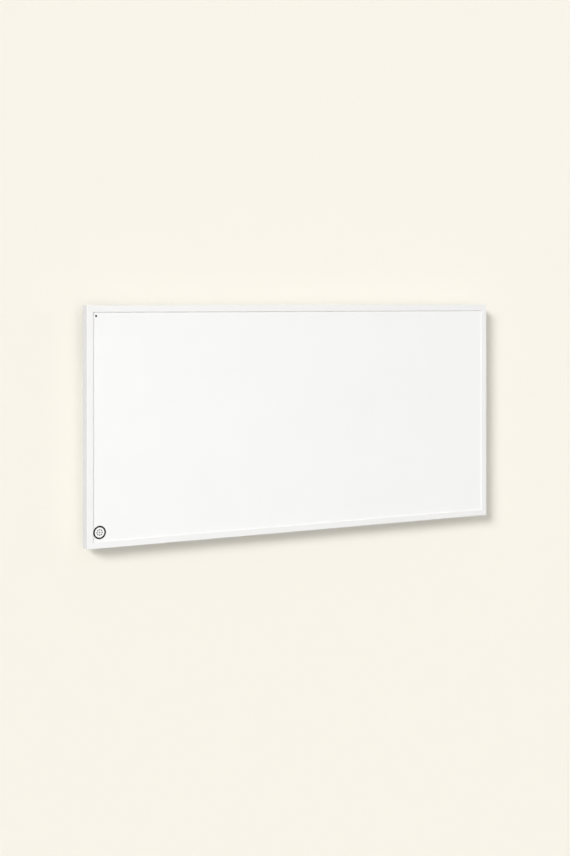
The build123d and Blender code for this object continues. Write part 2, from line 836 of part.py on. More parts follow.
screw_room = 2 * standoff_inset + sheet_clearance
relay_x = board_right - screw_room - relay_size[0] / 2
power_module_width = relay_x - relay_size[0] / 2 - module_gap - board_left
power_module_size = (power_module_width, power_module_height, power_module_depth)
components = (
    ("relay", relay_size, (relay_x, standoff_z)),
    ("power_module", power_module_size, (board_left + power_module_width / 2, standoff_z)),
    (
        "radio_module",
        radio_module_size,
        (board_x + board_edge_to_led, board_top - radio_module_size[1] / 2),
    ),
)
for component_name, (size_x, size_z, size_y), (x, z) in components:
    with BuildPart() as component:
        with BuildSketch(room_side(board_back_y + size_y)):
            with Locations((x, z)):
                Rectangle(size_x, size_z)
        extrude(amount=size_y)
        chamfer(component.faces().sort_by(Axis.Y)[-1].edges(), hole_clearance * 4)
    save(component, component_name)

# ---- Terminal block ----

pole_places = [(terminal_x + i * terminal_pitch, terminal_z) for i in (-1, 0, 1)]
terminal_back_y = floor_back_y + terminal_size[2]
screw_well = terminal_size[2] / 2 - terminal_wire_radius
with BuildPart() as terminal_block:
    with BuildSketch(room_side(terminal_back_y)):
        with Locations((terminal_x, terminal_z)):
            Rectangle(terminal_size[0], terminal_size[1])
    extrude(amount=terminal_size[2])
    with Locations(*[towards_wall(x, terminal_back_y, z) for x, z in pole_places]):
        Hole(terminal_screw_radius, depth=screw_well)
    with BuildSketch(Plane.XY.offset(terminal_z - terminal_size[1] / 2)):
        with Locations(*[(x, terminal_back_y - terminal_size[2] / 2) for x, z in pole_places]):
            Circle(terminal_wire_radius)
    extrude(amount=terminal_size[1], mode=Mode.SUBTRACT)
save(terminal_block, "terminal_block")

with BuildPart() as terminal_screws:
    with BuildSketch(room_side(terminal_back_y - hole_clearance * 4)):
        with Locations(*pole_places):
            Circle(terminal_screw_radius - hole_clearance)
            Rectangle(2 * terminal_screw_radius, recess_width, mode=Mode.SUBTRACT)
    extrude(amount=recess_width)
    with BuildSketch(room_side(terminal_back_y - hole_clearance * 4 - recess_width)):
        with Locations(*pole_places):
            Circle(terminal_screw_radius - hole_clearance)
    extrude(amount=screw_well - recess_width - hole_clearance * 4)
save(terminal_screws, "terminal_screws")

# ---- Cable entry in the bottom of the box ----


def gland_axis(z):
    """The place on the gland's axis at height z."""
    return Location((box_x, box_middle_y, z))


cable_bore = cable_radius + cable_play
passage_radius = cable_bore + hole_clearance * 2
flange_bottom = box_bottom - gland_flange_height
spigot_bottom = flange_bottom - gland_spigot
gland_top = box_bottom + box_wall + locknut_height + hole_clearance * 10
with BuildPart() as gland_body:
    with BuildSketch(Plane.XY.offset(flange_bottom)):
        with Locations((box_x, box_middle_y)):
            RegularPolygon(gland_across_flats / 2, 6, major_radius=False)
    extrude(amount=gland_flange_height)
    chamfer(gland_body.faces().sort_by(Axis.Z)[0].edges(), hole_clearance * 4)
    with BuildSketch(Plane.XY.offset(spigot_bottom)):
        with Locations((box_x, box_middle_y)):
            Circle(gland_thread_radius)
    extrude(amount=gland_top - spigot_bottom)
    with Locations(gland_axis(flange_bottom)):
        Hole(gland_pocket_radius, depth=gland_spigot)
    with Locations(gland_axis(gland_top)):
        Hole(passage_radius, depth=gland_top - flange_bottom)
save(gland_body, "gland_body")

with BuildPart() as gland_locknut:
    with BuildSketch(Plane.XY.offset(box_bottom + box_wall)):
        with Locations((box_x, box_middle_y)):
            RegularPolygon(gland_across_flats / 2, 6, major_radius=False)
            Circle(gland_thread_radius + hole_clearance, mode=Mode.SUBTRACT)
    extrude(amount=locknut_height)
save(gland_locknut, "gland_locknut")

with BuildPart() as gland_seal:
    with BuildSketch(Plane.XY.offset(spigot_bottom)):
        with Locations((box_x, box_middle_y)):
            Circle(gland_pocket_radius - hole_clearance)
            Circle(cable_bore, mode=Mode.SUBTRACT)
    extrude(amount=gland_spigot)
save(gland_seal, "gland_seal")

cap_top = flange_bottom - hole_clearance
cap_bottom = cap_top - gland_cap_height
with BuildPart() as gland_cap:
    with BuildSketch(Plane.XY.offset(cap_bottom)):
        with Locations((box_x, box_middle_y)):
            RegularPolygon(gland_across_flats / 2, 6, major_radius=False)
    extrude(amount=gland_cap_height)
    chamfer(gland_cap.faces().sort_by(Axis.Z)[0].edges(), gland_cap_end / 2)
    with Locations(gland_axis(cap_top)):
        Hole(gland_thread_radius + hole_clearance, depth=gland_cap_height - gland_cap_end)
        Hole(passage_radius, depth=gland_cap_height)
save(gland_cap, "gland_cap")

# ---- Power switch in the left side of the box ----

switch_face = Plane(
    origin=(box_left, box_middle_y, switch_z), x_dir=(0, 0, 1), z_dir=(-1, 0, 0)
)
rocker_width = switch_width - 2 * switch_wall - 2 * rocker_side_play
pivot_x = box_left - bezel_thickness + pivot_depth
with BuildPart() as switch_housing:
    with BuildSketch(switch_face):
        Rectangle(bezel_length, bezel_width)
    extrude(amount=bezel_thickness)
    chamfer(switch_housing.faces().sort_by(Axis.X)[0].edges(), bezel_thickness / 3)
    with BuildSketch(switch_face):
        Rectangle(switch_length, switch_width)
    extrude(amount=-switch_depth)
    with BuildSketch(switch_face.offset(bezel_thickness)):
        Rectangle(switch_length - 2 * switch_wall, switch_width - 2 * switch_wall)
    extrude(amount=switch_floor - switch_depth - bezel_thickness, mode=Mode.SUBTRACT)
    with BuildSketch(Plane.XZ.offset(-box_middle_y)):
        with Locations((pivot_x, switch_z)):
            Circle(pivot_radius + pivot_play)
    extrude(amount=switch_width / 2, both=True, mode=Mode.SUBTRACT)
save(switch_housing, "switch_housing")

# The rocker is drawn level on its pivot and then tipped, with its lower end pressed in.
# Its own X runs along the rocker, upwards, and its own Y out of the box.
rocker_plane = Plane(
    origin=(pivot_x, box_middle_y, switch_z),
    x_dir=Vector(0, 0, 1).rotate(Axis.Y, -rocker_tilt),
    z_dir=(0, -1, 0),
)
rocker_half = rocker_length / 2
crown_y = pivot_depth + rocker_crown
with BuildPart() as switch_rocker:
    with BuildSketch(rocker_plane) as section:
        with BuildLine():
            Polyline(
                (0, crown_y),
                (rocker_half, crown_y + rocker_crown),
                (rocker_half, crown_y - 3 * rocker_crown),
                (2 * pivot_radius, -2 * pivot_radius),
                (-2 * pivot_radius, -2 * pivot_radius),
                (-rocker_half, crown_y - 3 * rocker_crown),
                (-rocker_half, crown_y + rocker_crown),
                close=True,
            )
        make_face()
        fillet(section.vertices().group_by(Axis.Y)[-1], rocker_crown / 2)
    extrude(amount=rocker_width / 2, both=True)
    with BuildSketch(rocker_plane):
        Circle(pivot_radius)
    extrude(amount=rocker_width / 2 + rocker_side_play + pivot_pin, both=True)
save(switch_rocker, "switch_rocker")

blade_z = [switch_z - blade_pitch / 2, switch_z + blade_pitch / 2]
with BuildPart() as switch_blades:
    with BuildSketch(Plane.YZ.offset(box_left + switch_depth)):
        with Locations(*[(box_middle_y, z) for z in blade_z]):
            Rectangle(blade_width, blade_thickness)
    extrude(amount=blade_length)
save(switch_blades, "switch_blades")

# ---- Wiring inside the box ----

wire_y = board_back_y + lead_radius
terminal_wire_y = terminal_back_y - terminal_size[2] / 2
supply_z = terminal_z + terminal_size[1] / 2
with BuildPart() as supply_leads:
    with BuildSketch(Plane.XY.offset(supply_z)):
        with Locations(*[(x, wire_y) for x, z in pole_places[:2]]):
            Circle(lead_radius)
    extrude(amount=board_bottom + lead_bend - supply_z)
save(supply_leads, "supply_leads")

blade_end_x = box_left + switch_depth + blade_length
with BuildPart() as switch_leads:
    for z in blade_z:
        turn_x = blade_end_x + 2 * lead_radius + (blade_z[1] - z) / 2
        add(
            lead(
                [
                    (blade_end_x, box_middle_y, z),
                    (turn_x, box_middle_y, z),
                    (turn_x, box_middle_y, board_bottom + lead_bend),
                ],
                bend=tight_bend,
            )
        )
save(switch_leads, "switch_leads")

with BuildPart() as earth_stud:
    with BuildSketch(Plane.XZ.offset(-rear_face_y - stud_length)):
        with Locations((grommet_x, earth_z)):
            Circle(stud_radius)
    extrude(amount=stud_length)
    chamfer(earth_stud.faces().sort_by(Axis.Y)[-1].edges(), stud_radius / 5)
save(earth_stud, "earth_stud")

lug_back_y = floor_back_y + lug_thickness
crimp_z = earth_z + lug_radius + lead_radius
earth_run_z = (supply_z + board_bottom) / 2
with BuildPart() as earth_lead:
    with BuildSketch(room_side(lug_back_y)):
        with Locations((grommet_x, earth_z)):
            Circle(lug_radius)
        with Locations((grommet_x, (earth_z + crimp_z + lead_bend) / 2)):
            Rectangle(2 * lead_radius, crimp_z + lead_bend - earth_z)
        with Locations((grommet_x, earth_z)):
            Circle(stud_radius + hole_clearance, mode=Mode.SUBTRACT)
    extrude(amount=lug_thickness)
    add(
        lead(
            [
                (grommet_x, floor_back_y + lead_radius, crimp_z),
                (grommet_x, floor_back_y + lead_radius, earth_run_z),
                (grommet_x, terminal_wire_y, earth_run_z),
                (pole_places[2][0], terminal_wire_y, earth_run_z),
                (pole_places[2][0], terminal_wire_y, supply_z),
            ],
            bend=tight_bend,
        )
    )
save(earth_lead, "earth_lead")

with BuildPart() as earth_nut:
    with BuildSketch(room_side(lug_back_y + earth_nut_height)):
        with Locations((grommet_x, earth_z)):
            RegularPolygon(earth_nut_flats / 2, 6, major_radius=False)
            Circle(stud_radius + hole_clearance, mode=Mode.SUBTRACT)
    extrude(amount=earth_nut_height)
save(earth_nut, "earth_nut")

# ---- Leads to the element, and the thermal cutout in the live one ----

with BuildPart() as lead_grommet:
    with BuildSketch(room_side(floor_back_y + grommet_lip)):
        with Locations((grommet_x, grommet_z)):
            Circle(grommet_radius + grommet_lip)
    extrude(amount=grommet_lip)
    with BuildSketch(room_side(floor_back_y)):
        with Locations((grommet_x, grommet_z)):
            Circle(grommet_radius)
    extrude(amount=box_wall + rear_plate_thickness)
    with BuildSketch(room_side(rear_plate_front_y)):
        with Locations((grommet_x, grommet_z)):
            Circle(grommet_radius + grommet_lip)
    extrude(amount=grommet_lip)
    with Locations(towards_wall(grommet_x, floor_back_y + grommet_lip, grommet_z)):
        Hole(grommet_bore)
save(lead_grommet, "lead_grommet")

cutout_blade_y = insulation_front_y + cutout_height - blade_thickness
with BuildPart() as thermal_cutout:
    with BuildSketch(room_side(insulation_front_y + cutout_height)):
        with Locations((live_lead_x, cutout_rise)):
            Circle(cutout_radius)
    extrude(amount=cutout_height)
    with BuildSketch(room_side(cutout_blade_y + blade_thickness)):
        with Locations((live_lead_x, cutout_rise)):
            Rectangle(blade_width, 2 * (cutout_radius + cutout_blade))
    extrude(amount=blade_thickness)
save(thermal_cutout, "thermal_cutout")

lead_end_y = cutout_blade_y + blade_thickness + lead_radius
live_top = grommet_z + lead_pair
cutout_top = cutout_rise + cutout_radius + cutout_blade / 2
with BuildPart() as live_lead:
    add(
        lead(
            [
                (board_right, wire_y, live_top),
                (live_lead_x, wire_y, live_top),
                (live_lead_x, lead_end_y, live_top),
                (live_lead_x, lead_end_y, cutout_top),
            ]
        )
    )
save(live_lead, "live_lead")

cutout_bottom = cutout_rise - cutout_radius - cutout_blade / 2
with BuildPart() as cutout_lead:
    add(
        lead(
            [
                (live_lead_x, lead_end_y, cutout_bottom),
                (live_lead_x, lead_end_y, tab_height),
                (-busbar_x, lead_end_y, tab_height),
                (-busbar_x, strip_back_y, tab_height),
            ]
        )
    )
save(cutout_lead, "cutout_lead")

neutral_top = grommet_z - lead_pair
neutral_y = lead_end_y + 3 * lead_radius
with BuildPart() as neutral_lead:
    add(
        lead(
            [
                (board_right, wire_y, neutral_top),
                (neutral_lead_x, wire_y, neutral_top),
                (neutral_lead_x, neutral_y, neutral_top),
                (neutral_lead_x, neutral_y, -tab_height),
                (-busbar_x, neutral_y, -tab_height),
                (-busbar_x, strip_back_y, -tab_height),
            ]
        )
    )
save(neutral_lead, "neutral_lead")
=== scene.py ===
"""A white infrared panel heater on its two wall brackets, dressed for a soft studio view.

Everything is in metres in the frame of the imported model: X runs to the right as seen from the
room, Z is up, the wall is the plane Y = 0 and the room lies on the -Y side. Patterns of the
finishes are worked out in millimetres from Object coordinates.
"""

import logging
import math
from dataclasses import dataclass
from enum import Enum
from typing import Any, ClassVar

import bpy
import numpy as np
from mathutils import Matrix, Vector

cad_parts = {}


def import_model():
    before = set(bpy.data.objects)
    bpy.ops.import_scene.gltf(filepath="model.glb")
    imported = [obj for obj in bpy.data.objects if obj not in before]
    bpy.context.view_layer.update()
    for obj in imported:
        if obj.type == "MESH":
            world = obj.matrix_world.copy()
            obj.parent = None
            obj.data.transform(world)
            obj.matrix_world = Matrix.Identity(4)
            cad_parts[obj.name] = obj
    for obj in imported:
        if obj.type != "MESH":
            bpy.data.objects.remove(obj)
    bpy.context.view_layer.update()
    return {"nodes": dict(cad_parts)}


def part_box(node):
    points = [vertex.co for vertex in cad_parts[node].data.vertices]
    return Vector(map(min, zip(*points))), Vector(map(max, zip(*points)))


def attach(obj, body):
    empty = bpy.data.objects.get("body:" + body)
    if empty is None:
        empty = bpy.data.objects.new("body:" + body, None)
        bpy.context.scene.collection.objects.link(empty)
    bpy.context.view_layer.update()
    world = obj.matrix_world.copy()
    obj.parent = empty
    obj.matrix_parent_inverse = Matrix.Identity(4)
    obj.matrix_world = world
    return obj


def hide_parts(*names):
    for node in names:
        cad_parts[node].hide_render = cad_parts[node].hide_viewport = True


LOG = logging.getLogger("panel_heater")
MM = 0.001
TURN = 2 * math.pi
WAVE_PERIOD = TURN / 20  # from band to band of a wave texture whose scale is one
FROST_SHARE = 0.35  # of fine frost in the tone of a zinc crystal, over its own grey
STAIN_SHARE = 0.5  # of slow stains in the gloss of rolled metal, over its fine lines
PIT_SHARE = 0.4  # of fine pits in the tone of a moulding, over its slow clouds

Faces = list[tuple[int, ...]]
Pattern = tuple[Any, Any, Any]


# ---- Small tools ----


def linear(colour: str) -> tuple[float, float, float, float]:
    """Turns an sRGB hex colour into linear light.

    Args:
        colour: a colour such as "#F4F4F2".

    Returns:
        Red, green, blue and an alpha of one, by the sRGB curve: the straight part below 0.04045,
        and the power of 2.4 above it.
    """
    values = np.array([int(colour[i : i + 2], 16) for i in (1, 3, 5)]) / 255
    light = np.where(values <= 0.04045, values / 12.92, ((values + 0.055) / 1.055) ** 2.4)
    return (float(light[0]), float(light[1]), float(light[2]), 1.0)


def add_node(
    tree: bpy.types.NodeTree,
    kind: str,
    settings: dict[str, Any] | None = None,
    inputs: dict[str | int, Any] | None = None,
) -> bpy.types.Node:
    """Adds one shader node with its settings and links.

    Args:
        tree: the node tree that gets the node.
        kind: the node's type name, without its "ShaderNode".
        settings: values of the node's own properties, by name.
        inputs: what each input takes, by name or number: a value, an output socket, or a node,
            which stands for its first output.

    Returns:
        The new node.
    """
    node = tree.nodes.new("ShaderNode" + kind)
    for name, value in (settings or {}).items():
        setattr(node, name, value)
    for name, value in (inputs or {}).items():
        source = value.outputs[0] if isinstance(value, bpy.types.Node) else value
        if isinstance(source, bpy.types.NodeSocket):
            tree.links.new(source, node.inputs[name])
        else:
            node.inputs[name].default_value = source
    return node


def make_piece(
    name: str, points: np.ndarray, faces: Faces, smooth: bool = True
) -> bpy.types.Object:
    """Makes a mesh object whose place is in its points.

    Args:
        name: the piece's name.
        points: one row for each point, in metres.
        faces: the corners of each face, in order seen from outside.
        smooth: whether its faces are shaded as one curved skin.

    Returns:
        The object, at the origin, linked to the scene.
    """
    mesh = bpy.data.meshes.new(name)
    mesh.from_pydata(points.tolist(), [], faces)
    mesh.polygons.foreach_set("use_smooth", [smooth] * len(mesh.polygons))
    mesh.update()
    piece = bpy.data.objects.new(name, mesh)
    bpy.context.scene.collection.objects.link(piece)
    return piece


def lathe(profile: np.ndarray, steps: int) -> tuple[np.ndarray, Faces]:
    """Turns a profile round the Z axis.

    A point of the surface is the profile's radius times the cosine of the turn along X and its
    sine along Y, and the profile's height along Z. A profile that starts and ends on the axis
    gives a closed body with one pole at each end, and any other profile is closed into a ring.

    Args:
        profile: radius and height of each point, from the top outwards and back below.
        steps: how many steps go round the axis.

    Returns:
        The points and the faces, which point outwards.
    """
    poles = bool(profile[0, 0] == 0)
    rings = profile[1:-1] if poles else profile
    count = len(rings)
    turn = np.arange(steps) * TURN / steps
    radius, height = rings[:, :1], rings[:, 1:]
    points = np.stack(
        [radius * np.cos(turn), radius * np.sin(turn), height + 0 * turn], axis=-1
    ).reshape(-1, 3)
    here = np.arange(steps)[None, :]
    there = (here + 1) % steps
    row = np.arange(count - 1 if poles else count)[:, None] * steps
    below = (row + steps) % (count * steps)
    quads = np.stack([row + here, below + here, below + there, row + there], axis=-1)
    faces = [tuple(face) for face in quads.reshape(-1, 4).tolist()]
    if poles:
        top, bottom = len(points), len(points) + 1
        points = np.vstack([points, [0, 0, profile[0, 1]], [0, 0, profile[-1, 1]]])
        last = (count - 1) * steps
        faces += [(top, i, (i + 1) % steps) for i in range(steps)]
        faces += [(bottom, last + (i + 1) % steps, last + i) for i in range(steps)]
    return points, faces


def place_on(
    points: np.ndarray,
    origin: tuple[float, float, float],
    out: tuple[float, float, float],
    along: tuple[float, float, float],
) -> np.ndarray:
    """Stands a shape on a face: its Z goes out of the face, and its X along it.

    A point becomes the origin plus its X, Y and Z times the three directions of the face, of
    which the middle one is the cross product of the other two.

    Args:
        points: the shape's points about its own origin.
        origin: the point of the face that it stands on.
        out: the direction out of the face, of length one.
        along: the direction along the face, of length one.

    Returns:
        The points in the frame of the model.
    """
    return np.array(origin) + points @ np.array([along, np.cross(out, along), out])


def repeat(points: np.ndarray, faces: Faces, places: np.ndarray) -> tuple[np.ndarray, Faces]:
    """Copies a shape: each copy is the shape's points plus one of the places.

    Args:
        points: the shape's points.
        faces: the shape's faces.
        places: one row for each copy.

    Returns:
        The points and the faces of all copies.
    """
    copies = (points[None] + places[:, None]).reshape(-1, 3)
    starts = range(0, len(copies), len(points))
    return copies, [tuple(start + i for i in face) for start in starts for face in faces]


# ---- Finishes ----


class Making(Enum):
    """How a surface was made, which sets the pattern that it carries."""

    SPRAYED = "powder sprayed and baked"
    DIPPED = "hot-dip galvanised"
    ROLLED = "rolled, drawn or brushed"
    MOULDED = "moulded in a spark-eroded tool"
    FELTED = "felted fibres"
    WOVEN = "woven glass laminate"
    ETCHED = "etched circuit board"
    POLISHED = "polished"


@dataclass(frozen=True)
class Finish:
    """One real finish: its colours, its gloss and the pattern that its making leaves.

    Attributes:
        name: the material's name.
        making: how the surface was made.
        colour: the main colour, as sRGB hex.
        second: the colour that the pattern turns to in places.
        roughness: the lowest and the highest roughness across the pattern.
        grain: the size of one element of the pattern, in millimetres.
        relief: the height of the pattern, in millimetres.
        patch: the size of the slow changes across the surface, in millimetres.
        metallic: one for bare metal.
        stretch: how much longer the pattern is along X, Y and Z than across.
        sockets: other constants of the shader, by the socket's name.
    """

    name: str
    making: Making
    colour: str
    second: str
    roughness: tuple[float, float]
    grain: float
    relief: float
    patch: float
    metallic: float = 0.0
    stretch: tuple[float, float, float] = (1.0, 1.0, 1.0)
    sockets: tuple[tuple[str, float], ...] = ()

    made: ClassVar[dict[str, bpy.types.Material]] = {}

    def material(self) -> bpy.types.Material:
        """Builds the finish's material, or gives the one that it already has.

        Returns:
            A material whose colour, roughness and bump follow the pattern.
        """
        if self.name in self.made:
            return self.made[self.name]
        material = bpy.data.materials.new(self.name)
        material.use_nodes = True
        tree = material.node_tree
        shader = tree.nodes["Principled BSDF"]
        shader.inputs["Metallic"].default_value = self.metallic
        for socket, value in self.sockets:
            shader.inputs[socket].default_value = value
        place = add_node(tree, "TexCoord").outputs["Object"]
        place = add_node(tree, "VectorMath", {"operation": "SCALE"}, {0: place, "Scale": 1 / MM})
        grain = add_node(tree, "VectorMath", {"operation": "DIVIDE"}, {0: place, 1: self.stretch})
        patterns = {
            Making.SPRAYED: self.sprayed,
            Making.DIPPED: self.dipped,
            Making.ROLLED: self.rolled,
            Making.MOULDED: self.moulded,
            Making.FELTED: self.felted,
            Making.WOVEN: self.woven,
            Making.ETCHED: self.etched,
            Making.POLISHED: self.polished,
        }
        tone, gloss, height = patterns[self.making](tree, place, grain)
        low, high = self.roughness
        colours = {0: tone, 6: linear(self.colour), 7: linear(self.second)}
        colour = add_node(tree, "Mix", {"data_type": "RGBA"}, colours)
        rough = add_node(tree, "MapRange", None, {"Value": gloss, "To Min": low, "To Max": high})
        bump = add_node(tree, "Bump", None, {"Height": height, "Distance": self.relief * MM})
        tree.links.new(colour.outputs[2], shader.inputs["Base Color"])
        tree.links.new(rough.outputs[0], shader.inputs["Roughness"])
        tree.links.new(bump.outputs[0], shader.inputs["Normal"])
        self.made[self.name] = material
        return material

    # Each method below draws one pattern. Its tone is where the second colour shows, its gloss is
    # where the surface is rougher, and its height is how far the surface stands out.

    def sprayed(self, tree: bpy.types.NodeTree, place: Any, grain: Any) -> Pattern:
        """Rounded orange-peel hills, with slow changes of shade and gloss.

        Args:
            tree: the node tree of the material.
            place: the place on the piece, in millimetres.
            grain: that place divided by the stretch.

        Returns:
            The tone, the gloss and the height.
        """
        peel = {"Vector": grain, "Scale": 1 / self.grain, "Detail": 1.0}
        cloud = {"Vector": place, "Scale": 1 / self.patch, "Detail": 2.0}
        haze = {"Vector": place, "Scale": 4 / self.patch, "Detail": 2.0}
        hills = add_node(tree, "TexNoise", None, peel)
        clouds = add_node(tree, "TexNoise", None, cloud)
        return clouds, add_node(tree, "TexNoise", None, haze), hills

    def dipped(self, tree: bpy.types.NodeTree, place: Any, grain: Any) -> Pattern:
        """Zinc crystals: cells with bent edges, each with its own shade and gloss, and frost.

        Args:
            tree: the node tree of the material.
            place: the place on the piece, in millimetres.
            grain: that place divided by the stretch.

        Returns:
            The tone, the gloss and the height.
        """
        wander = {"Vector": place, "Scale": 2 / self.grain}
        sway = add_node(tree, "TexNoise", None, wander).outputs["Color"]
        sway = add_node(tree, "VectorMath", {"operation": "SCALE"}, {0: sway, "Scale": self.grain})
        bent = add_node(tree, "VectorMath", {"operation": "ADD"}, {0: grain, 1: sway})
        cells = add_node(tree, "TexVoronoi", None, {"Vector": bent, "Scale": 1 / self.grain})
        chance = add_node(tree, "SeparateColor", None, {0: cells.outputs["Color"]})
        fine = {"Vector": grain, "Scale": 5 / self.grain, "Detail": 5.0}
        frost = add_node(tree, "TexNoise", None, fine)
        tone = add_node(tree, "Mix", None, {0: FROST_SHARE, 2: chance, 3: frost})
        return tone, chance.outputs[1], frost

    def rolled(self, tree: bpy.types.NodeTree, place: Any, grain: Any) -> Pattern:
        """Fine lines along the stretch, over slow stains.

        Args:
            tree: the node tree of the material.
            place: the place on the piece, in millimetres.
            grain: that place divided by the stretch.

        Returns:
            The tone, the gloss and the height.
        """
        scratch = {"Vector": grain, "Scale": 1 / self.grain, "Detail": 3.0}
        stain = {"Vector": place, "Scale": 1 / self.patch, "Detail": 4.0}
        lines = add_node(tree, "TexNoise", None, scratch)
        stains = add_node(tree, "TexNoise", None, stain)
        gloss = add_node(tree, "Mix", None, {0: STAIN_SHARE, 2: lines, 3: stains})
        return stains, gloss, lines

    def moulded(self, tree: bpy.types.NodeTree, place: Any, grain: Any) -> Pattern:
        """Even fine pits, with the faint clouds that the melt leaves as it flows.

        Args:
            tree: the node tree of the material.
            place: the place on the piece, in millimetres.
            grain: that place divided by the stretch.

        Returns:
            The tone, the gloss and the height.
        """
        spark = {"Vector": grain, "Scale": 1 / self.grain, "Detail": 2.0}
        flow = {"Vector": place, "Scale": 1 / self.patch, "Detail": 3.0}
        pits = add_node(tree, "TexNoise", None, spark)
        clouds = add_node(tree, "TexNoise", None, flow)
        tone = add_node(tree, "Mix", None, {0: PIT_SHARE, 2: clouds, 3: pits})
        return tone, clouds, pits

    def felted(self, tree: bpy.types.NodeTree, place: Any, grain: Any) -> Pattern:
        """Tangled fibres, from noise that is bent by itself, packed tighter in slow patches.

        Args:
            tree: the node tree of the material.
            place: the place on the piece, in millimetres.
            grain: that place divided by the stretch.

        Returns:
            The tone, the gloss and the height.
        """
        tangle = {"Vector": grain, "Scale": 1 / self.grain, "Detail": 6.0, "Distortion": 2.5}
        patch = {"Vector": place, "Scale": 1 / self.patch}
        fibres = add_node(tree, "TexNoise", None, tangle)
        return fibres, add_node(tree, "TexNoise", None, patch), fibres

    def woven(self, tree: bpy.types.NodeTree, place: Any, grain: Any) -> Pattern:
        """Threads that cross, in bands along X and Z. The higher shows, and the knots set the tone.

        Args:
            tree: the node tree of the material.
            place: the place on the piece, in millimetres.
            grain: that place divided by the stretch.

        Returns:
            The tone, the gloss and the height.
        """
        scale = WAVE_PERIOD / self.grain
        bands = {"Vector": grain, "Scale": scale, "Distortion": 0.4}
        warp = add_node(tree, "TexWave", {"bands_direction": "X"}, bands).outputs["Fac"]
        weft = add_node(tree, "TexWave", {"bands_direction": "Z"}, bands).outputs["Fac"]
        top = add_node(tree, "Math", {"operation": "MAXIMUM"}, {0: warp, 1: weft})
        knots = add_node(tree, "Math", {"operation": "MULTIPLY"}, {0: warp, 1: weft})
        resin = {"Vector": place, "Scale": 1 / self.patch}
        return knots, add_node(tree, "TexNoise", None, resin), top

    def etched(self, tree: bpy.types.NodeTree, place: Any, grain: Any) -> Pattern:
        """Copper tracks under the lacquer: the joints of a brick pattern seen from the wall.

        Args:
            tree: the node tree of the material.
            place: the place on the piece, in millimetres.
            grain: that place divided by the stretch.

        Returns:
            The tone, the gloss and the height.
        """
        flat = add_node(tree, "Mapping", None, {"Vector": grain, "Rotation": (math.pi / 2, 0, 0)})
        layout = {
            "Vector": flat,
            "Scale": 1 / self.grain,
            "Mortar Size": 0.12,
            "Mortar Smooth": 0.2,
            "Brick Width": 2.6,
            "Row Height": 0.8,
        }
        tracks = add_node(tree, "TexBrick", {"offset": 0.37}, layout).outputs["Fac"]
        lacquer = {"Vector": place, "Scale": 1 / self.patch}
        return tracks, add_node(tree, "TexNoise", None, lacquer), tracks

    def polished(self, tree: bpy.types.NodeTree, place: Any, grain: Any) -> Pattern:
        """A smooth skin with faint slow ripples.

        Args:
            tree: the node tree of the material.
            place: the place on the piece, in millimetres.
            grain: that place divided by the stretch.

        Returns:
            The tone, the gloss and the height.
        """
        ripple = {"Vector": grain, "Scale": 1 / self.grain, "Detail": 1.0}
        cloud = {"Vector": place, "Scale": 1 / self.patch}
        ripples = add_node(tree, "TexNoise", None, ripple)
        return add_node(tree, "TexNoise", None, cloud), ripples, ripples


# White polyester powder on the aluminium frame: an even satin. Its hills, 2 mm in life, are drawn
# at 5 mm so that they show.
POWDER_COAT = Finish(
    "powder_coated_aluminium",
    Making.SPRAYED,
    "#EEEEED",
    "#EAEAE9",
    roughness=(0.42, 0.5),
    grain=5,
    relief=0.02,
    patch=90,
)
# Stove enamel on the steel front plate: a little flatter than the frame, with hills drawn at 4 mm.
STOVE_ENAMEL = Finish(
    "stove_enamelled_steel",
    Making.SPRAYED,
    "#F2F2F2",
    "#EFEFEF",
    roughness=(0.44, 0.52),
    grain=4,
    relief=0.012,
    patch=140,
)
# Smoked acrylic with a fine satin face: near black, so that only a soft shine shows on it.
SMOKED_ACRYLIC = Finish(
    "smoked_acrylic",
    Making.POLISHED,
    "#0B0C0E",
    "#121316",
    roughness=(0.2, 0.3),
    grain=1.5,
    relief=0.002,
    patch=3,
    sockets=(("IOR", 1.49), ("Specular IOR Level", 0.25)),
)
# Clear acrylic rod: only its bent reflections show.
CLEAR_ACRYLIC = Finish(
    "clear_acrylic",
    Making.POLISHED,
    "#F2F5F5",
    "#E6EDED",
    roughness=(0.02, 0.06),
    grain=2,
    relief=0.002,
    patch=6,
    sockets=(("IOR", 1.49), ("Transmission Weight", 0.9)),
)
# Hot-dip galvanised sheet: frosty crystals 12 mm across, each with its own grey.
GALVANISED_SHEET = Finish(
    "galvanised_steel_sheet",
    Making.DIPPED,
    "#959B9F",
    "#BFC4C7",
    roughness=(0.3, 0.52),
    grain=12,
    relief=0.02,
    patch=60,
    metallic=1,
)
# The rails are rolled from zinc-coated strip, so their crystals are finer and drawn out along it.
GALVANISED_RAIL = Finish(
    "galvanised_steel_rail",
    Making.DIPPED,
    "#858B8F",
    "#ABB0B4",
    roughness=(0.28, 0.46),
    grain=8,
    relief=0.02,
    patch=60,
    metallic=1,
    stretch=(2.2, 1, 1),
)
# Zinc-plated screws: bright, with a slightly blue, uneven passivation.
ZINC_PLATING = Finish(
    "zinc_plated_screw",
    Making.ROLLED,
    "#C4C7C6",
    "#A9B0B8",
    roughness=(0.22, 0.38),
    grain=0.9,
    relief=0.01,
    patch=5,
    metallic=1,
)
# Zinc-plated strip steel of the brackets: drawing lines run up the strip.
PLATED_STRIP = Finish(
    "zinc_plated_strip",
    Making.ROLLED,
    "#A7ADB3",
    "#C0C4C6",
    roughness=(0.26, 0.44),
    grain=1.1,
    relief=0.012,
    patch=24,
    metallic=1,
    stretch=(1, 1, 16),
)
# Mill-finish aluminium: soft rolling lines along the panel.
MILL_ALUMINIUM = Finish(
    "mill_finish_aluminium",
    Making.ROLLED,
    "#C8CBCF",
    "#DCDEE0",
    roughness=(0.28, 0.42),
    grain=0.8,
    relief=0.01,
    patch=18,
    metallic=1,
    stretch=(14, 1, 1),
)
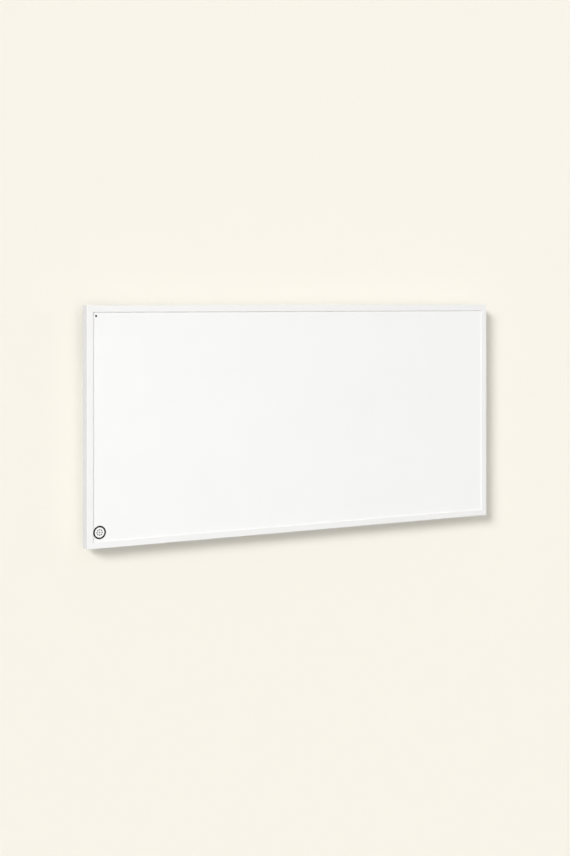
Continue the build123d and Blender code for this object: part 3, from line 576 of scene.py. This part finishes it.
# Black ABS: an even spark-eroded texture, 0.1 mm in life and drawn at 1.2 mm so that it shows.
BLACK_ABS = Finish(
    "black_abs_moulding",
    Making.MOULDED,
    "#1B1C1E",
    "#26272A",
    roughness=(0.46, 0.6),
    grain=1.2,
    relief=0.05,
    patch=35,
)
# Pale silicone foam strip: dull, with open pores.
SILICONE_FOAM = Finish(
    "silicone_foam_strip",
    Making.MOULDED,
    "#BFBFBB",
    "#D2D2CE",
    roughness=(0.65, 0.8),
    grain=0.8,
    relief=0.08,
    patch=12,
)
# EPDM rubber: dull black with a greyish bloom.
EPDM_RUBBER = Finish(
    "epdm_rubber",
    Making.MOULDED,
    "#1E1E1E",
    "#31312F",
    roughness=(0.62, 0.82),
    grain=0.7,
    relief=0.03,
    patch=8,
)
# Needled edge felt: pale grey tangled fibres with a soft edge light.
EDGE_FELT = Finish(
    "needled_felt",
    Making.FELTED,
    "#B9B6AE",
    "#8C8982",
    roughness=(0.85, 0.98),
    grain=2.2,
    relief=0.35,
    patch=20,
    sockets=(("Sheen Weight", 0.3),),
)
# Glass-epoxy sheet: amber, with its cloth of 0.7 mm threads showing as a fine weave.
GLASS_EPOXY = Finish(
    "glass_epoxy_laminate",
    Making.WOVEN,
    "#B2924D",
    "#C9AC6B",
    roughness=(0.3, 0.45),
    grain=1.4,
    relief=0.02,
    patch=30,
)
# Carbon-filled track: dull black, printed in passes along the panel.
CARBON_TRACK = Finish(
    "carbon_resistance_track",
    Making.ROLLED,
    "#1C1C1D",
    "#2D2D2E",
    roughness=(0.5, 0.68),
    grain=1.2,
    relief=0.03,
    patch=30,
    stretch=(20, 1, 1),
)
# Bare copper strip, slightly tarnished in patches.
COPPER_STRIP = Finish(
    "rolled_copper_strip",
    Making.ROLLED,
    "#C98B66",
    "#A5694A",
    roughness=(0.24, 0.42),
    grain=0.8,
    relief=0.01,
    patch=16,
    metallic=1,
    stretch=(1, 1, 14),
)
# Bright aluminium foil with soft handling creases.
BRIGHT_FOIL = Finish(
    "aluminium_foil",
    Making.ROLLED,
    "#D8DADC",
    "#E9EAEB",
    roughness=(0.12, 0.3),
    grain=14,
    relief=0.4,
    patch=60,
    metallic=1,
)
# Mineral fibre board: straw-coloured tangled fibres.
MINERAL_FIBRE = Finish(
    "mineral_fibre_board",
    Making.FELTED,
    "#D9D0B2",
    "#BFB28A",
    roughness=(0.85, 0.98),
    grain=3.5,
    relief=0.5,
    patch=60,
)
# Green lacquered circuit board, lighter where the tracks run under the lacquer.
CIRCUIT_LACQUER = Finish(
    "lacquered_circuit_board",
    Making.ETCHED,
    "#0F4528",
    "#1E6B3D",
    roughness=(0.25, 0.36),
    grain=2.4,
    relief=0.03,
    patch=15,
)
# Blue polyester of the relay: smooth, with faint flow clouds.
RELAY_BLUE = Finish(
    "blue_polyester_moulding",
    Making.MOULDED,
    "#1B4B8C",
    "#235797",
    roughness=(0.3, 0.42),
    grain=0.8,
    relief=0.02,
    patch=10,
)
# Black epoxy that fills the supply module: slightly uneven and half dull.
MODULE_EPOXY = Finish(
    "black_filled_epoxy",
    Making.MOULDED,
    "#171819",
    "#232425",
    roughness=(0.42, 0.58),
    grain=0.9,
    relief=0.03,
    patch=12,
)
# Tinned steel shield of the radio module: a warm pale grey with cloudy gloss.
TINNED_SHIELD = Finish(
    "tinned_steel_shield",
    Making.ROLLED,
    "#C2C2BE",
    "#D2D2CF",
    roughness=(0.25, 0.4),
    grain=0.7,
    relief=0.01,
    patch=8,
    metallic=1,
)
# Clear epoxy over a white diode body: glossy and milky.
DIODE_EPOXY = Finish(
    "diode_epoxy",
    Making.POLISHED,
    "#ECEADF",
    "#F4F2E6",
    roughness=(0.08, 0.15),
    grain=1,
    relief=0.002,
    patch=3,
    sockets=(("IOR", 1.54),),
)
# Natural nylon of the terminal block: a warm, waxy white.
NATURAL_NYLON = Finish(
    "natural_nylon",
    Making.MOULDED,
    "#DEDBCB",
    "#E9E6DA",
    roughness=(0.38, 0.5),
    grain=0.8,
    relief=0.02,
    patch=12,
    sockets=(("Subsurface Weight", 0.05),),
)
# Nickel-plated brass of the clamps, blades and the earth stud: yellow-grey and bright.
PLATED_BRASS = Finish(
    "nickel_plated_brass",
    Making.ROLLED,
    "#CDBE95",
    "#BBA877",
    roughness=(0.2, 0.36),
    grain=0.7,
    relief=0.01,
    patch=6,
    metallic=1,
)
# Black polycarbonate of the switch: glossy, so that its bent faces show.
GLOSS_BLACK = Finish(
    "black_polycarbonate",
    Making.MOULDED,
    "#141415",
    "#1B1B1D",
    roughness=(0.2, 0.3),
    grain=1.2,
    relief=0.008,
    patch=12,
)
# Black nylon of the cable gland: half dull, with a fine tool texture.
BLACK_NYLON = Finish(
    "black_nylon_moulding",
    Making.MOULDED,
    "#191A1B",
    "#242526",
    roughness=(0.4, 0.54),
    grain=0.9,
    relief=0.03,
    patch=10,
)
# Silicone-covered leads in the usual colours: soft and slightly dusty.
BROWN_SILICONE = Finish(
    "brown_silicone_lead",
    Making.MOULDED,
    "#58311D",
    "#673C26",
    roughness=(0.42, 0.55),
    grain=0.8,
    relief=0.01,
    patch=12,
)
BLUE_SILICONE = Finish(
    "blue_silicone_lead",
    Making.MOULDED,
    "#1E4A92",
    "#2758A4",
    roughness=(0.42, 0.55),
    grain=0.8,
    relief=0.01,
    patch=12,
)
EARTH_SILICONE = Finish(
    "green_yellow_silicone_lead",
    Making.ROLLED,
    "#5E9430",
    "#D2C534",
    roughness=(0.42, 0.55),
    grain=3,
    relief=0.01,
    patch=4,
)
# Phenolic body of the thermal cutout: very dark brown and slightly glossy.
PHENOLIC_BROWN = Finish(
    "phenolic_moulding",
    Making.MOULDED,
    "#241C16",
    "#33281F",
    roughness=(0.3, 0.45),
    grain=1,
    relief=0.02,
    patch=8,
)
# Screen-printed inks: matt black and mid grey on the plate, and white on the switch.
BLACK_INK = Finish(
    "black_screen_ink",
    Making.SPRAYED,
    "#080808",
    "#0F0F0F",
    roughness=(0.6, 0.7),
    grain=0.8,
    relief=0.006,
    patch=20,
    sockets=(("Specular IOR Level", 0.2),),
)
GREY_INK = Finish(
    "grey_screen_ink",
    Making.SPRAYED,
    "#5E5E5E",
    "#686868",
    roughness=(0.5, 0.6),
    grain=0.8,
    relief=0.006,
    patch=20,
)
WHITE_INK = Finish(
    "white_pad_ink",
    Making.SPRAYED,
    "#E4E4E2",
    "#D8D8D6",
    roughness=(0.45, 0.6),
    grain=0.5,
    relief=0.006,
    patch=3,
)


# ---- The heater, by sub-assembly ----


@dataclass
class SubAssembly:
    """A group of CAD nodes that is dressed together, with the pieces that are added to it."""

    nodes: dict[str, bpy.types.Object]
    worn: ClassVar[dict[Finish, tuple[str, ...]]] = {}

    def build(self) -> list[bpy.types.Object]:
        """Makes the group's added pieces. A group without any gives an empty list."""
        return []

    def dress(self) -> list[str]:
        """Gives each CAD node of the group its finish.

        Returns:
            The names of the dressed nodes.
        """
        dressed = []
        for finish, names in self.worn.items():
            for name in names:
                for slot in self.nodes[name].material_slots:
                    slot.material = finish.material()
                dressed.append(name)
        return dressed

    def attach(
        self, piece: bpy.types.Object, finish: Finish, body: str, slot: str
    ) -> bpy.types.Object:
        """Gives a new piece its finish and lets it move with a body.

        Args:
            piece: the new piece.
            finish: what it wears.
            body: the body that it rides on.
            slot: the record's material slot that its finish belongs to; not used.

        Returns:
            The same piece.
        """
        piece.data.materials.append(finish.material())
        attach(piece, body)
        return piece


@dataclass
class Frame(SubAssembly):
    """The mitred frame with its corner joints."""

    worn: ClassVar[dict[Finish, tuple[str, ...]]] = {
        POWDER_COAT: ("frame_top", "frame_bottom", "frame_left", "frame_right"),
        MILL_ALUMINIUM: ("corner_cleats",),
        ZINC_PLATING: ("corner_screws", "rear_plate_screws"),
    }


@dataclass
class FrontPlate(SubAssembly):
    """The radiating plate with its seals, its window and the round printed mark.

    Sizes are in millimetres. The mark is a plain ring round a rosette of dots.
    """

    mark_centre: tuple[float, float] = (-563.4, -258.1)
    mark_radius: float = 16.6
    mark_stroke: float = 4.2
    ink_thickness: float = 0.1
    dot_radius: float = 1.9
    dot_orbit: float = 6.8
    dot_count: int = 8
    window_radius: float = 2.7
    window_flange: float = 4.2
    flange_depth: float = 1.0  # of its front behind the button's
    window_dome: float = 0.5
    dome_points: int = 9

    out: ClassVar[tuple[float, float, float]] = (0, -1, 0)
    along: ClassVar[tuple[float, float, float]] = (1, 0, 0)
    worn: ClassVar[dict[Finish, tuple[str, ...]]] = {
        STOVE_ENAMEL: ("front_plate",),
        SILICONE_FOAM: ("plate_gasket",),
        EDGE_FELT: ("edge_felt",),
    }

    def build(self) -> list[bpy.types.Object]:
        """Makes the printed mark and the domed window.

        Returns:
            The ring, the rosette and the window.
        """
        return [self.ring(), self.rosette(), self.window()]

    def print_on_plate(
        self, name: str, points: np.ndarray, faces: Faces, ink: Finish
    ) -> bpy.types.Object:
        """Prints a flat shape on the plate, about the centre of the mark.

        Args:
            name: the piece's name.
            points: the shape's points in millimetres, with their height above the plate.
            faces: the shape's faces.
            ink: the ink's finish.

        Returns:
            The printed piece.
        """
        x, z = self.mark_centre
        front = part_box("front_plate")[0].y
        placed = place_on(points * MM, (x * MM, front, z * MM), self.out, self.along)
        piece = make_piece(name, placed, faces, smooth=False)
        return self.attach(piece, ink, "heater", "carbon_strip")

    def ring(self) -> bpy.types.Object:
        """Makes the mark's ring: a flat band turned round the centre.

        Returns:
            The printed ring.
        """
        inner = self.mark_radius - self.mark_stroke
        top = self.ink_thickness
        band = np.array([[inner, top], [self.mark_radius, top], [self.mark_radius, 0], [inner, 0]])
        return self.print_on_plate("printed_ring", *lathe(band, steps=96), BLACK_INK)

    def rosette(self) -> bpy.types.Object:
        """Makes the mark's dots: flat discs on a circle round one in the middle.

        Returns:
            The printed rosette.
        """
        top = self.ink_thickness
        disc = np.array([[0, top], [self.dot_radius, top], [self.dot_radius, 0], [0, 0]])
        turn = np.arange(self.dot_count) * TURN / self.dot_count
        circle = np.stack([np.cos(turn), np.sin(turn), 0 * turn], axis=-1) * self.dot_orbit
        dots = repeat(*lathe(disc, steps=24), np.vstack([circle, np.zeros(3)]))
        return self.print_on_plate("printed_rosette", *dots, GREY_INK)

    def window(self) -> bpy.types.Object:
        """Makes the window: a flanged button whose face is a shallow dome.

        The dome's height falls with the square of the share of the radius.

        Returns:
            The window, which stands for the CAD lens.
        """
        low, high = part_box("indicator_lens")
        back = (low.y - high.y) / MM
        flange = back + self.flange_depth
        share = np.linspace(0, 1, self.dome_points)
        dome = np.stack([share * self.window_radius, self.window_dome * (1 - share**2)], axis=-1)
        body = [
            [self.window_radius, flange],
            [self.window_flange, flange],
            [self.window_flange, back],
            [0, back],
        ]
        points, faces = lathe(np.vstack([dome, body]) * MM, steps=48)
        centre = ((low.x + high.x) / 2, low.y, (low.z + high.z) / 2)
        placed = place_on(points, centre, self.out, self.along)
        window = make_piece("indicator_window", placed, faces)
        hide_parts("indicator_lens")
        return self.attach(window, SMOKED_ACRYLIC, "heater", "smoked_lens")


@dataclass
class HeatingElement(SubAssembly):
    """The laminated element with its foil and insulation."""

    worn: ClassVar[dict[Finish, tuple[str, ...]]] = {
        GLASS_EPOXY: ("element_front_sheet", "element_back_sheet"),
        CARBON_TRACK: ("heating_strips",),
        COPPER_STRIP: ("live_busbar", "neutral_busbar", "link_busbar"),
        BRIGHT_FOIL: ("reflector_foil",),
        MINERAL_FIBRE: ("insulation_board",),
    }


@dataclass
class Back(SubAssembly):
    """The rear plate, its rails and the wall brackets."""

    worn: ClassVar[dict[Finish, tuple[str, ...]]] = {
        GALVANISED_SHEET: ("rear_plate",),
        GALVANISED_RAIL: ("hanger_rail_upper", "hanger_rail_lower"),
        MILL_ALUMINIUM: ("rail_rivets",),
        PLATED_STRIP: ("wall_bracket_left", "wall_bracket_right"),
    }


@dataclass
class ControlBox(SubAssembly):
    """The box behind the top left corner, its cable entry and its switch.

    Sizes are in millimetres. A bar on the rocker's upper half marks on, and a ring on its lower
    half marks off.
    """

    pivot: tuple[float, float, float] = (-582.5, -15.15, 190.0)
    rocker_half: float = 5.2
    crease_height: float = 4.3  # of the fold between the rocker's halves, above the pivot
    end_height: float = 5.1  # of the rocker's ends, above the pivot
    tilt: float = 10.0  # degrees, of the rocker at rest
    sign_reach: float = 2.7  # of each sign's middle from the fold
    sign_radius: float = 1.1
    sign_stroke: float = 0.4
    ink_thickness: float = 0.03

    worn: ClassVar[dict[Finish, tuple[str, ...]]] = {
        BLACK_ABS: ("control_box", "box_lid"),
        EPDM_RUBBER: ("box_gasket", "gland_seal", "lead_grommet"),
        ZINC_PLATING: ("lid_screws", "box_screws"),
        BLACK_NYLON: ("gland_body", "gland_cap", "gland_locknut"),
        GLOSS_BLACK: ("switch_housing", "switch_rocker"),
        PLATED_BRASS: ("switch_blades", "earth_stud", "earth_nut"),
    }

    def build(self) -> list[bpy.types.Object]:
        """Makes the two signs on the rocker.

        Returns:
            The bar and the ring.
        """
        top, outer = self.ink_thickness, self.sign_radius
        inner, half = outer - self.sign_stroke, self.sign_stroke / 2
        corners = [[-outer, -half], [outer, -half], [outer, half], [-outer, half]]
        points = np.array([[x, y, z] for z in (top, 0) for x, y in corners])
        edges = [(i, i + 4, (i + 1) % 4 + 4, (i + 1) % 4) for i in range(4)]
        bar = [(0, 1, 2, 3), (7, 6, 5, 4), *edges]
        band = np.array([[inner, top], [outer, top], [outer, 0], [inner, 0]])
        return [
            self.print_on_rocker("rocker_on_bar", points, bar, 1),
            self.print_on_rocker("rocker_off_ring", *lathe(band, steps=48), -1),
        ]

    def print_on_rocker(
        self, name: str, points: np.ndarray, faces: Faces, side: int
    ) -> bpy.types.Object:
        """Prints a sign on one half of the rocker.

        The half slopes from the fold up to the rocker's end, and the whole rocker is tipped, so
        that its upper half stands out.

        Args:
            name: the piece's name.
            points: the sign's points in millimetres, with their height above the face.
            faces: the sign's faces.
            side: one for the upper half, minus one for the lower.

        Returns:
            The printed piece.
        """
        tilt = math.radians(self.tilt)
        up = np.array([-math.sin(tilt), 0, math.cos(tilt)])
        proud = np.array([-math.cos(tilt), 0, -math.sin(tilt)])
        rise = self.end_height - self.crease_height
        slope = math.atan2(rise, self.rocker_half)
        along = up * math.cos(slope) + proud * math.sin(slope) * side
        out = proud * math.cos(slope) - up * math.sin(slope) * side
        height = self.crease_height + rise * self.sign_reach / self.rocker_half
        middle = np.array(self.pivot) + up * self.sign_reach * side + proud * height
        placed = place_on(points * MM, tuple(middle * MM), tuple(out), tuple(along))
        sign = make_piece(name, placed, faces, smooth=False)
        return self.attach(sign, WHITE_INK, "rocker", "switch_plastic")


@dataclass
class Electronics(SubAssembly):
    """The board, what it carries, and the wiring."""

    worn: ClassVar[dict[Finish, tuple[str, ...]]] = {
        CIRCUIT_LACQUER: ("control_board",),
        ZINC_PLATING: ("board_screws",),
        RELAY_BLUE: ("relay",),
        MODULE_EPOXY: ("power_module",),
        TINNED_SHIELD: ("radio_module",),
        DIODE_EPOXY: ("indicator_led",),
        CLEAR_ACRYLIC: ("light_guide",),
        NATURAL_NYLON: ("terminal_block",),
        PLATED_BRASS: ("terminal_screws",),
        BROWN_SILICONE: ("supply_leads", "switch_leads", "live_lead", "cutout_lead"),
        BLUE_SILICONE: ("neutral_lead",),
        EARTH_SILICONE: ("earth_lead",),
        PHENOLIC_BROWN: ("thermal_cutout",),
    }


# ---- The studio ----


def seen_rays(tree: bpy.types.NodeTree, path: bpy.types.Node) -> bpy.types.Node:
    """Tells the rays that show a thing from those that light it.

    Args:
        tree: the node tree.
        path: its light path node.

    Returns:
        A node that gives 1 for the eye, reflections and what is seen through glass, and 0 else.
    """
    ray = path.outputs
    mirrored = {0: ray["Is Glossy Ray"], 1: ray["Is Transmission Ray"]}
    mirrored = add_node(tree, "Math", {"operation": "MAXIMUM"}, mirrored)
    return add_node(tree, "Math", {"operation": "MAXIMUM"}, {0: ray["Is Camera Ray"], 1: mirrored})


class LampKind(Enum):
    """What a lamp is."""

    FAR = "SUN"
    SOFT_BOX = "AREA"


@dataclass(frozen=True)
class Lamp:
    """One lamp of the studio.

    Attributes:
        name: the lamp's name.
        kind: a broad far source or a square soft box.
        power: watts per square metre from a far source, and watts from a soft box.
        size: the far source's width in degrees, or the soft box's side in metres.
        turn: its rotation about X, Y and Z in degrees. Unturned, it shines straight down.
        place: where it hangs, in metres.
        shadow: whether it casts shadows.
        on_matt: whether matt surfaces take its light, and not reflections alone.
    """

    name: str
    kind: LampKind
    power: float
    size: float
    turn: tuple[float, float, float]
    place: tuple[float, float, float] = (0, 0, 3)
    shadow: bool = True
    on_matt: bool = True

    def hang(self) -> bpy.types.Object:
        """Puts the lamp into the scene.

        Returns:
            The lamp's object.
        """
        light = bpy.data.lights.new(self.name, self.kind.value)
        light.energy = self.power
        light.use_shadow = self.shadow
        if self.kind is LampKind.FAR:
            light.angle = math.radians(self.size)
        else:
            light.shape = "SQUARE"
            light.size = self.size
        lamp = bpy.data.objects.new(self.name, light)
        lamp.location = self.place
        lamp.rotation_euler = [math.radians(angle) for angle in self.turn]
        lamp.visible_camera = False
        lamp.visible_diffuse = self.on_matt
        bpy.context.scene.collection.objects.link(lamp)
        return lamp


@dataclass
class Studio:
    """A pale wall and floor, soft light from the upper left, and the camera.

    Lengths are in metres. The camera stands level at the height of the panel's top edge and looks
    past it from the left, so that upright edges stay upright in the picture.
    """

    paint: str = "#F9F5EA"
    bounce: str = "#B1B0AE"
    room_light: float = 0.32
    floor_glow: float = 0.305
    half_width: float = 7.0
    wall_top: float = 4.5
    floor_level: float = -2.2
    floor_reach: float = 7.0
    floor_lean: float = 0.7  # of the normal's rise, past which the sheet is floor
    behind: tuple[float, float] = (0.63, 0.33)  # half the width and height that the panel hides
    first_hops: float = 1.5  # bounces, below which light still passes the sheet's hidden part
    key_from: tuple[float, float] = (50.5, 21.5)  # degrees to the left and up
    camera_place: tuple[float, float, float] = (-1.8345, -3.3606, 0.3097)
    camera_turn: float = 28.395  # degrees, from straight at the wall towards the right
    lens: float = 60.435  # millimetres, and so is the sensor
    sensor: float = 36.0
    sight: float = 100.0  # how far the camera sees
    picture_shift: tuple[float, float] = (-0.0008, -0.1491)  # of the picture's height

    def lamps(self) -> list[Lamp]:
        """Lists the lamps.

        Returns:
            A broad key from the upper left, one fill from the front and one from the right, a
            soft box that only reflections show, and one for the heater's back.
        """
        left, up = self.key_from
        in_front = (0.3, -2.8, -0.2)
        return [
            Lamp("key", LampKind.FAR, 2.24, 17, (90 - up, 0, -left)),
            Lamp("fill", LampKind.FAR, 0.62, 12, (90, 0, 0), shadow=False),
            Lamp("side", LampKind.FAR, 0.84, 30, (80, 0, 75), shadow=False),
            Lamp("front_box", LampKind.SOFT_BOX, 39, 1.6, (90, 0, 0), in_front, on_matt=False),
            Lamp("rear_box", LampKind.SOFT_BOX, 70, 2.4, (63, 0, 164), (0.9, 3.2, 1.6)),
        ]

    def backdrop(self) -> bpy.types.Object:
        """Makes the wall and the floor as one sheet.

        A profile of a straight wall and a straight floor is carried along X.

        Returns:
            The sheet, which faces the room.
        """
        y = np.array([0, 0, -self.floor_reach])
        z = np.array([self.wall_top, self.floor_level, self.floor_level])
        x = np.array([-self.half_width, self.half_width])
        points = np.stack([np.tile(x, len(y)), np.repeat(y, 2), np.repeat(z, 2)], axis=-1)
        row = np.arange(len(y) - 1) * 2
        quads = np.stack([row, row + 2, row + 3, row + 1], axis=-1)
        faces = [tuple(quad) for quad in quads.tolist()]
        sheet = make_piece("backdrop", points, faces, smooth=False)
        sheet.data.materials.append(self.wall_paint())
        return sheet

    def wall_paint(self) -> bpy.types.Material:
        """Makes matt paint that shows only its front, and lets light through to the heater's back.

        The eye and reflections see pale paint, which glows a little on the floor so that it is as
        pale as the wall. Other surfaces get a dimmer bounce from it.

        Returns:
            The material.
        """
        material = bpy.data.materials.new("matt_wall_paint")
        material.use_nodes = True
        tree = material.node_tree
        tree.nodes.clear()
        ray = add_node(tree, "LightPath")
        looks = seen_rays(tree, ray)
        geometry = add_node(tree, "NewGeometry")
        facing = add_node(tree, "SeparateXYZ", None, {0: geometry.outputs["Normal"]})
        span = {"Value": facing.outputs[2], "From Min": self.floor_lean, "To Max": self.floor_glow}
        level = add_node(tree, "MapRange", None, span)
        level = add_node(tree, "Math", {"operation": "MULTIPLY"}, {0: level, 1: looks})
        glow = add_node(tree, "Emission", None, {"Color": linear(self.paint), "Strength": level})
        pale = add_node(tree, "BsdfDiffuse", None, {"Color": linear(self.paint)})
        lit = add_node(tree, "AddShader", None, {0: pale, 1: glow})
        dim = add_node(tree, "BsdfDiffuse", None, {"Color": linear(self.bounce)})
        bounced = ray.outputs["Is Diffuse Ray"]
        paint = add_node(tree, "MixShader", None, {0: bounced, 1: lit, 2: dim})

        place = add_node(tree, "TexCoord").outputs["Object"]
        reach = add_node(tree, "VectorMath", {"operation": "ABSOLUTE"}, {0: place})
        axes = add_node(tree, "SeparateXYZ", None, {0: reach})
        across, high = self.behind
        near_x = add_node(tree, "Math", {"operation": "LESS_THAN"}, {0: axes.outputs[0], 1: across})
        near_z = add_node(tree, "Math", {"operation": "LESS_THAN"}, {0: axes.outputs[2], 1: high})
        hidden = add_node(tree, "Math", {"operation": "MULTIPLY"}, {0: near_x, 1: near_z})
        seen = ray.outputs["Is Camera Ray"]
        unseen = add_node(tree, "Math", {"operation": "SUBTRACT"}, {0: 1.0, 1: seen})
        turned = geometry.outputs["Backfacing"]
        from_behind = add_node(tree, "Math", {"operation": "MULTIPLY"}, {0: turned, 1: seen})
        to_back = add_node(tree, "Math", {"operation": "MULTIPLY"}, {0: hidden, 1: unseen})
        either = add_node(tree, "Math", {"operation": "MAXIMUM"}, {0: from_behind, 1: to_back})
        bounces = {0: ray.outputs["Ray Depth"], 1: self.first_hops}
        direct = add_node(tree, "Math", {"operation": "LESS_THAN"}, bounces)
        share = add_node(tree, "Math", {"operation": "MULTIPLY"}, {0: either, 1: direct})
        clear = add_node(tree, "BsdfTransparent")
        mixed = add_node(tree, "MixShader", None, {0: share, 1: paint, 2: clear})
        add_node(tree, "OutputMaterial", None, {"Surface": mixed})
        return material

    def surroundings(self) -> bpy.types.World:
        """Makes the room round the stage.

        The eye and reflections see the paint, and matt surfaces get a weak even light.

        Returns:
            The world.
        """
        world = bpy.data.worlds.new("studio")
        bpy.context.scene.world = world
        world.use_nodes = True
        tree = world.node_tree
        tree.nodes.clear()
        looks = seen_rays(tree, add_node(tree, "LightPath"))
        even = {"Color": linear("#FFFFFF"), "Strength": self.room_light}
        room = add_node(tree, "Background", None, even)
        pale = add_node(tree, "Background", None, {"Color": linear(self.paint)})
        mixed = add_node(tree, "MixShader", None, {0: looks, 1: room, 2: pale})
        add_node(tree, "OutputWorld", None, {"Surface": mixed})
        return world

    def camera(self) -> bpy.types.Object:
        """Makes the camera: level, turned to the right, its picture moved down from the horizon.

        Returns:
            The camera's object.
        """
        data = bpy.data.cameras.new("camera")
        data.lens = self.lens
        data.sensor_width = self.sensor
        data.shift_x, data.shift_y = self.picture_shift
        data.clip_end = self.sight
        camera = bpy.data.objects.new("camera", data)
        camera.location = self.camera_place
        camera.rotation_euler = (math.pi / 2, 0, -math.radians(self.camera_turn))
        bpy.context.scene.collection.objects.link(camera)
        bpy.context.scene.camera = camera
        return camera

    def build(self) -> None:
        """Sets up the camera, the room, the lamps and the backdrop."""
        self.camera()
        self.surroundings()
        for lamp in self.lamps():
            lamp.hang()
            LOG.info("lamp %s: %s, power %s", lamp.name, lamp.kind.name, lamp.power)
        self.backdrop()
        bpy.context.scene.view_settings.view_transform = "Standard"


def main() -> None:
    """Loads the frame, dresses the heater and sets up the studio."""
    logging.basicConfig(level=logging.INFO, format="%(name)s: %(message)s")
    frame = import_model()
    dressed: set[str] = set()
    for group in (Frame, FrontPlate, HeatingElement, Back, ControlBox, Electronics):
        part = group(frame["nodes"])
        for piece in part.build():
            LOG.info("%s: made %s", group.__name__, piece.name)
        names = part.dress()
        dressed.update(names)
        LOG.info("%s: dressed %s", group.__name__, ", ".join(names))
    LOG.info("nodes without a finish: %s", sorted(set(frame["nodes"]) - dressed))
    Studio().build()


if __name__ == "__main__":
    main()
